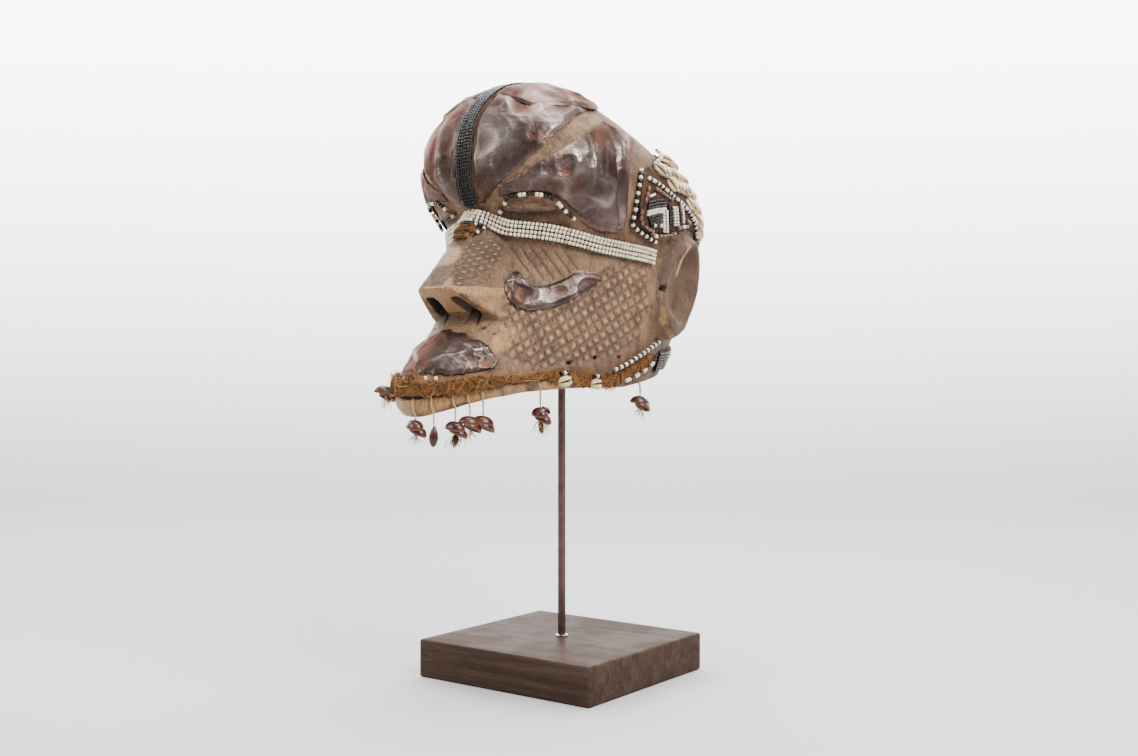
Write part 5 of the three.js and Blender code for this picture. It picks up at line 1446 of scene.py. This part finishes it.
# The nape cloth: a strip of the same stuff under the cowrie cloth at the back of the neck, its two
# front corners covered with dark beads.
NAPE_CLOTH = (
    both_ways([[110, 0.87], [132, 0.862], [156, 0.857]], 0.855, 180),
    both_ways([[110, 0.955], [132, 0.96], [156, 0.963]], 0.965, 180))
nape_parts = [laid_cloth(NAPE_CLOTH, 150, 30, 1.5, 160, 300.0)]
for side in (1, -1):
    for k in range(7):
        share = 0.877 + 0.0105 * k
        row = [[107.5, share], [118, share + 0.002], [126 - k, share + 0.001]]
        nape_parts += bead_string(row, "bbbbab" if k % 3 else "b", side, 170 + k, width=2.6, lift=3.0)
piece("beaded_nape_cloth", nape_parts, ["nape_cloth"])

# The raffia trim: a frayed bundle of fibre sewn along the edge of the mouth and jaw, with two white
# beads caught in it in the middle of the mouth.
trim_route = both_ways([[84, 0.968], [76, 0.963], [68, 0.953], [59, 0.942], [50, 0.93], [40, 0.924],
                        [30, 0.925], [20, 0.925], [10, 0.92]], 0.917)
TUFT_ROUTE = [[-9, 0.905], [-4, 0.90], [1, 0.898], [6, 0.905]]
mouth_route = trim_route[5:-5]
trim = [wad(trim_route, 6.5, 1.2, 3.4, 1.0, 180), wad(mouth_route, 10.5, 1.2, 3.9, 1.2, 181),
        frayed(trim_route, 470, (9.0, 30.0), 9.0, 3.0, 6.0, 5.0, 182, thick=0.46, mat=0.34),
        frayed(mouth_route, 500, (7.0, 24.0), 13.5, 3.6, 6.6, 6.0, 183, thick=0.48, mat=0.34),
        frayed(trim_route, 240, (4.0, 9.0), 11.0, 4.0, 6.5, 8.0, 184, stations=6, thick=0.30, mat=0.4)]
short = {"stations": 8, "thick": 0.42, "mat": 0.42}
for side in (1, -1):
    jaw_route = [[56 * side, 0.94], [66 * side, 0.952], [76 * side, 0.962], [84 * side, 0.962]]
    trim.append(wad(jaw_route, 11.0, 0.9, 2.8, 1.3, 185))
    trim.append(frayed(jaw_route, 260, (5.0, 14.0), 13.0, 2.6, 5.6, 6.0, 187, **short))
    ear_route = [[85 * side, 0.953], [91 * side, 0.936], [98 * side, 0.913], [104 * side, 0.888]]
    trim.append(wad(ear_route, 10.5, 0.5, 2.0, 1.2, 189))
    trim.append(frayed(ear_route, 70, (4.0, 13.0), 13.0, 1.8, 3.4, 3.0, 191, **short))
trim.append(frayed(TUFT_ROUTE, 90, (5.0, 9.0), 12.0, 2.0, 7.0, 9.0, 186, stations=7, thick=0.38))
for spot in ((10.0, 0.90), (15.0, 0.902)):
    angle, share = np.array(spot)[:, None]
    centre, normal = on_face(angle, share, np.array([6.5])), normal_of(face_point, angle, share)
    trim.append(beads(centre, np.cross(normal, (0.0, 0.0, 1.0)), normal, 3.4, 3.6, [WHITE], 188))
piece("raffia_trim", trim, ["fibre_trim"])

# The jaw cowries: two on each side, sewn over the raffia, each with three beads above it.
for number, (at, share) in enumerate(((60, 0.958), (72, 0.970)), 1):
    for which, side in SIDES:
        angle = np.array([at * side])
        here = np.array([share])
        normal = normal_of(face_point, angle, here)
        jaw_along = unit(face_point(angle + side, here) - face_point(angle, here))
        low_point = on_face(angle, here, np.array([6.8]))
        parts = [cowries(low_point, jaw_along, normal, 15.6, 190 + number)]
        for k, tone in enumerate("bwb"):
            spot = on_face(angle, here - 0.027, np.array([7.6])) + jaw_along * (k - 1) * 3.7
            parts.append(beads(spot, jaw_along, normal, 3.4, 4.0, [TONES[tone]], 194 + k))
        piece(f"jaw_shell_{which}_{number}", parts, [f"jaw_cowrie_{which}_{number}"])

# The pendants: polished halves of dark seed shells, stacked on raffia cords that hang from the trim.
# One is a whole long seed, and some have loose fibre or small beads below.
nut, tree, shader = material("seed_shell", Roughness=0.34, Specular_IOR_Level=0.3, Coat_Weight=0.2,
                             Coat_Roughness=0.12)
where = place_on(tree)
dirt = use(tree, grime, {"Vector": where, "Patches": 160.0, "Specks": 900.0})
tone = mix(tree, patches(tree, where, 110.0, 0.35, 0.65), (0.020, 0.006, 0.004), (0.072, 0.018, 0.009))
tone = over(tree, tone, mark(tree, "rim"), 0.7, (0.14, 0.048, 0.020))
tone = over(tree, tone, dirt["Patch"], 0.12, (0.16, 0.07, 0.04))
finish(tree, shader, tone, bump(tree, cloud(tree, where, 500.0, 3.0), 0.0002, 0.4))
# Half a shell in units of its radius: from the cord hole over the dome, round the rim and up inside.
HALF_SHELL = [(0.07, 0.78), (0.30, 0.76), (0.60, 0.65), (0.84, 0.44), (0.97, 0.18), (1.0, 0.0), (0.95, -0.10),
              (0.86, -0.06), (0.80, 0.10), (0.62, 0.38), (0.35, 0.55), (0.07, 0.60)]
LONG_SEED = [(0.07, 1.0), (0.20, 0.93), (0.52, 0.70), (0.80, 0.40), (0.97, 0.08), (1.0, -0.15), (0.90, -0.48),
             (0.62, -0.78), (0.24, -0.95), (0.07, -1.0)]


def tilted(points, centre, tilt, twist):
    """Points tipped about Y, then turned about Z, then moved; angles in degrees."""
    ct, st, cz, sz = (f(math.radians(v)) for v in (tilt, twist) for f in (math.cos, math.sin))
    x, y, z = points[:, 0] * ct + points[:, 2] * st, points[:, 1], points[:, 2] * ct - points[:, 0] * st
    return np.stack([x * cz - y * sz, x * sz + y * cz, z], -1) + centre


def seed_part(profile, size, centre, tilt, twist):
    """A seed shell from its profile, scaled to half sizes (x, y, z), tipped, turned and placed."""
    points, faces = turned(profile, 28)
    points = points.reshape(-1, 3)
    rim = (np.abs(points[:, 2] + 0.04) < 0.1) * float(profile is HALF_SHELL)
    moved = tilted(points * size, centre, tilt, twist)
    return moved, facing_out(moved, faces), nut, {"rim": rim}


def cord(path, radius, tint, turns):
    """Two fibres twisted together along a path."""
    f = np.linspace(0.0, 1.0, 26)
    line = through(path, f)
    wind = f * turns * 2 * math.pi
    pair = [line + np.stack([np.cos(wind + h), np.sin(wind + h), wind * 0.0], -1) * radius * 0.55
            for h in (0.0, math.pi)]
    return strands(np.stack(pair), radius * 0.62, np.array([tint, tint + 0.08]), sides=5)


def straws(centre, count, length, spread, tint, seed_number):
    """Loose ends of fibre that fan out below a seed."""
    rng = np.random.default_rng(seed_number)
    f = np.linspace(0.0, 1.0, 6)[None, :, None]
    out = rng.normal(0.0, 1.0, (count, 1, 3)) * (1.0, 1.0, 0.25) * spread
    drop = np.array([0.0, 0.0, -1.0]) * rng.uniform(0.5, 1.0, (count, 1, 1)) * length
    bend = rng.normal(0.0, 1.0, (count, 1, 3)) * (1.0, 1.0, 0.3) * spread * 0.5
    start = rng.normal(0.0, 0.7, (count, 1, 3)) + centre
    return strands(start + (out + drop) * f + bend * np.sin(f * math.pi), rng.uniform(0.2, 0.34, count),
                   np.clip(tint + rng.normal(0.0, 0.12, count), 0.0, 2.0))


PENDANTS = [(-27, "pair"), (4, "pair"), (14, "long"), (23, "tuft"), (28.5, "pair"), (33.5, "long"),
            (53, "cluster"), (98, "pair")]
for number, (angle, kind) in enumerate(PENDANTS, 1):
    low, high = node_box(f"pendant_{number}")
    hang = (low + high) / 2
    share = 0.985 if abs(angle) >= 90 else 0.968
    start = on_face(np.array([float(angle)]), np.array([share]), np.array([2.4]))[0]
    start[2] = min(start[2], high[2])
    rng = np.random.default_rng(200 + number)
    twist, tail = rng.uniform(-60.0, 60.0), {"tuft": 8.0, "cluster": 8.0}.get(kind, 0.0)
    long_seed = kind == "long" and number == 3
    bottom = low[2] + tail
    seeds_top = bottom + (19.0 if long_seed else 15.0)
    middle = np.array([hang[0], hang[1], 0.0])
    path = [start, start * (0.4, 0.4, 0.0) + middle * 0.6 + (0, 0, start[2] - 2.5),
            middle + (0, 0, (start[2] + seeds_top) / 2), middle + (0, 0, seeds_top - 2.0)]
    if abs(angle) < 50:
        tied = on_face(np.full(2, float(angle)), np.array([0.943, 0.955]), np.array([2.6, 2.2]))
        path = [*tied, *path]
    parts = [cord(path, 1.0, 1.7, (path[0][2] - seeds_top) / 5.0)]
    foot = middle + (0.0, 0.0, bottom)
    if long_seed:
        parts.append(seed_part(LONG_SEED, (4.2, 4.0, 9.6), foot + (0, 0, 9.6), 4.0, twist))
    else:
        parts.append(seed_part(HALF_SHELL, (10.2, 7.6, 9.0), foot + (-0.6, 0, 8.8), 10.0, twist))
        parts.append(seed_part(HALF_SHELL, (9.2, 6.9, 7.8), foot + (2.2, 0.9, 4.4), 24.0, twist + 25.0))
        if kind == "pair":
            parts.append(straws(foot + (0, 0, 4.0), 16, 11.0, 4.0, 1.7, 220 + number))
    if kind == "tuft":
        parts.append(straws(foot + (0, 0, 4.0), 70, 12.0, 3.4, 0.0, 220 + number))
    if kind == "cluster":
        parts.append(seed_part(HALF_SHELL, (5.2, 4.2, 4.6), foot + (4.0, 3.0, 12.0), -30.0, twist - 40.0))
        parts.append(seed_part(LONG_SEED, (3.4, 2.2, 8.0), foot + (0.5, 0, -0.5), -14.0, twist))
        parts.append(straws(foot + (1.0, 0, 4.0), 34, 13.0, 4.5, 1.4, 220 + number))
        spots = foot + (5.0, -2.0, 16.0) - np.arange(6)[:, None] * (0.3, 0.2, 2.6)
        shades = [BLACK, WHITE, BLACK, BLACK, WHITE, BLACK]
        parts.append(beads(spots, np.tile([0.1, 0.1, 1.0], (6, 1)), np.tile([0.0, -1.0, 0.0], (6, 1)),
                           2.4, 2.8, shades, 240))
    piece(f"seed_pendant_{number}", parts, [f"pendant_{number}"], sharp=60.0)
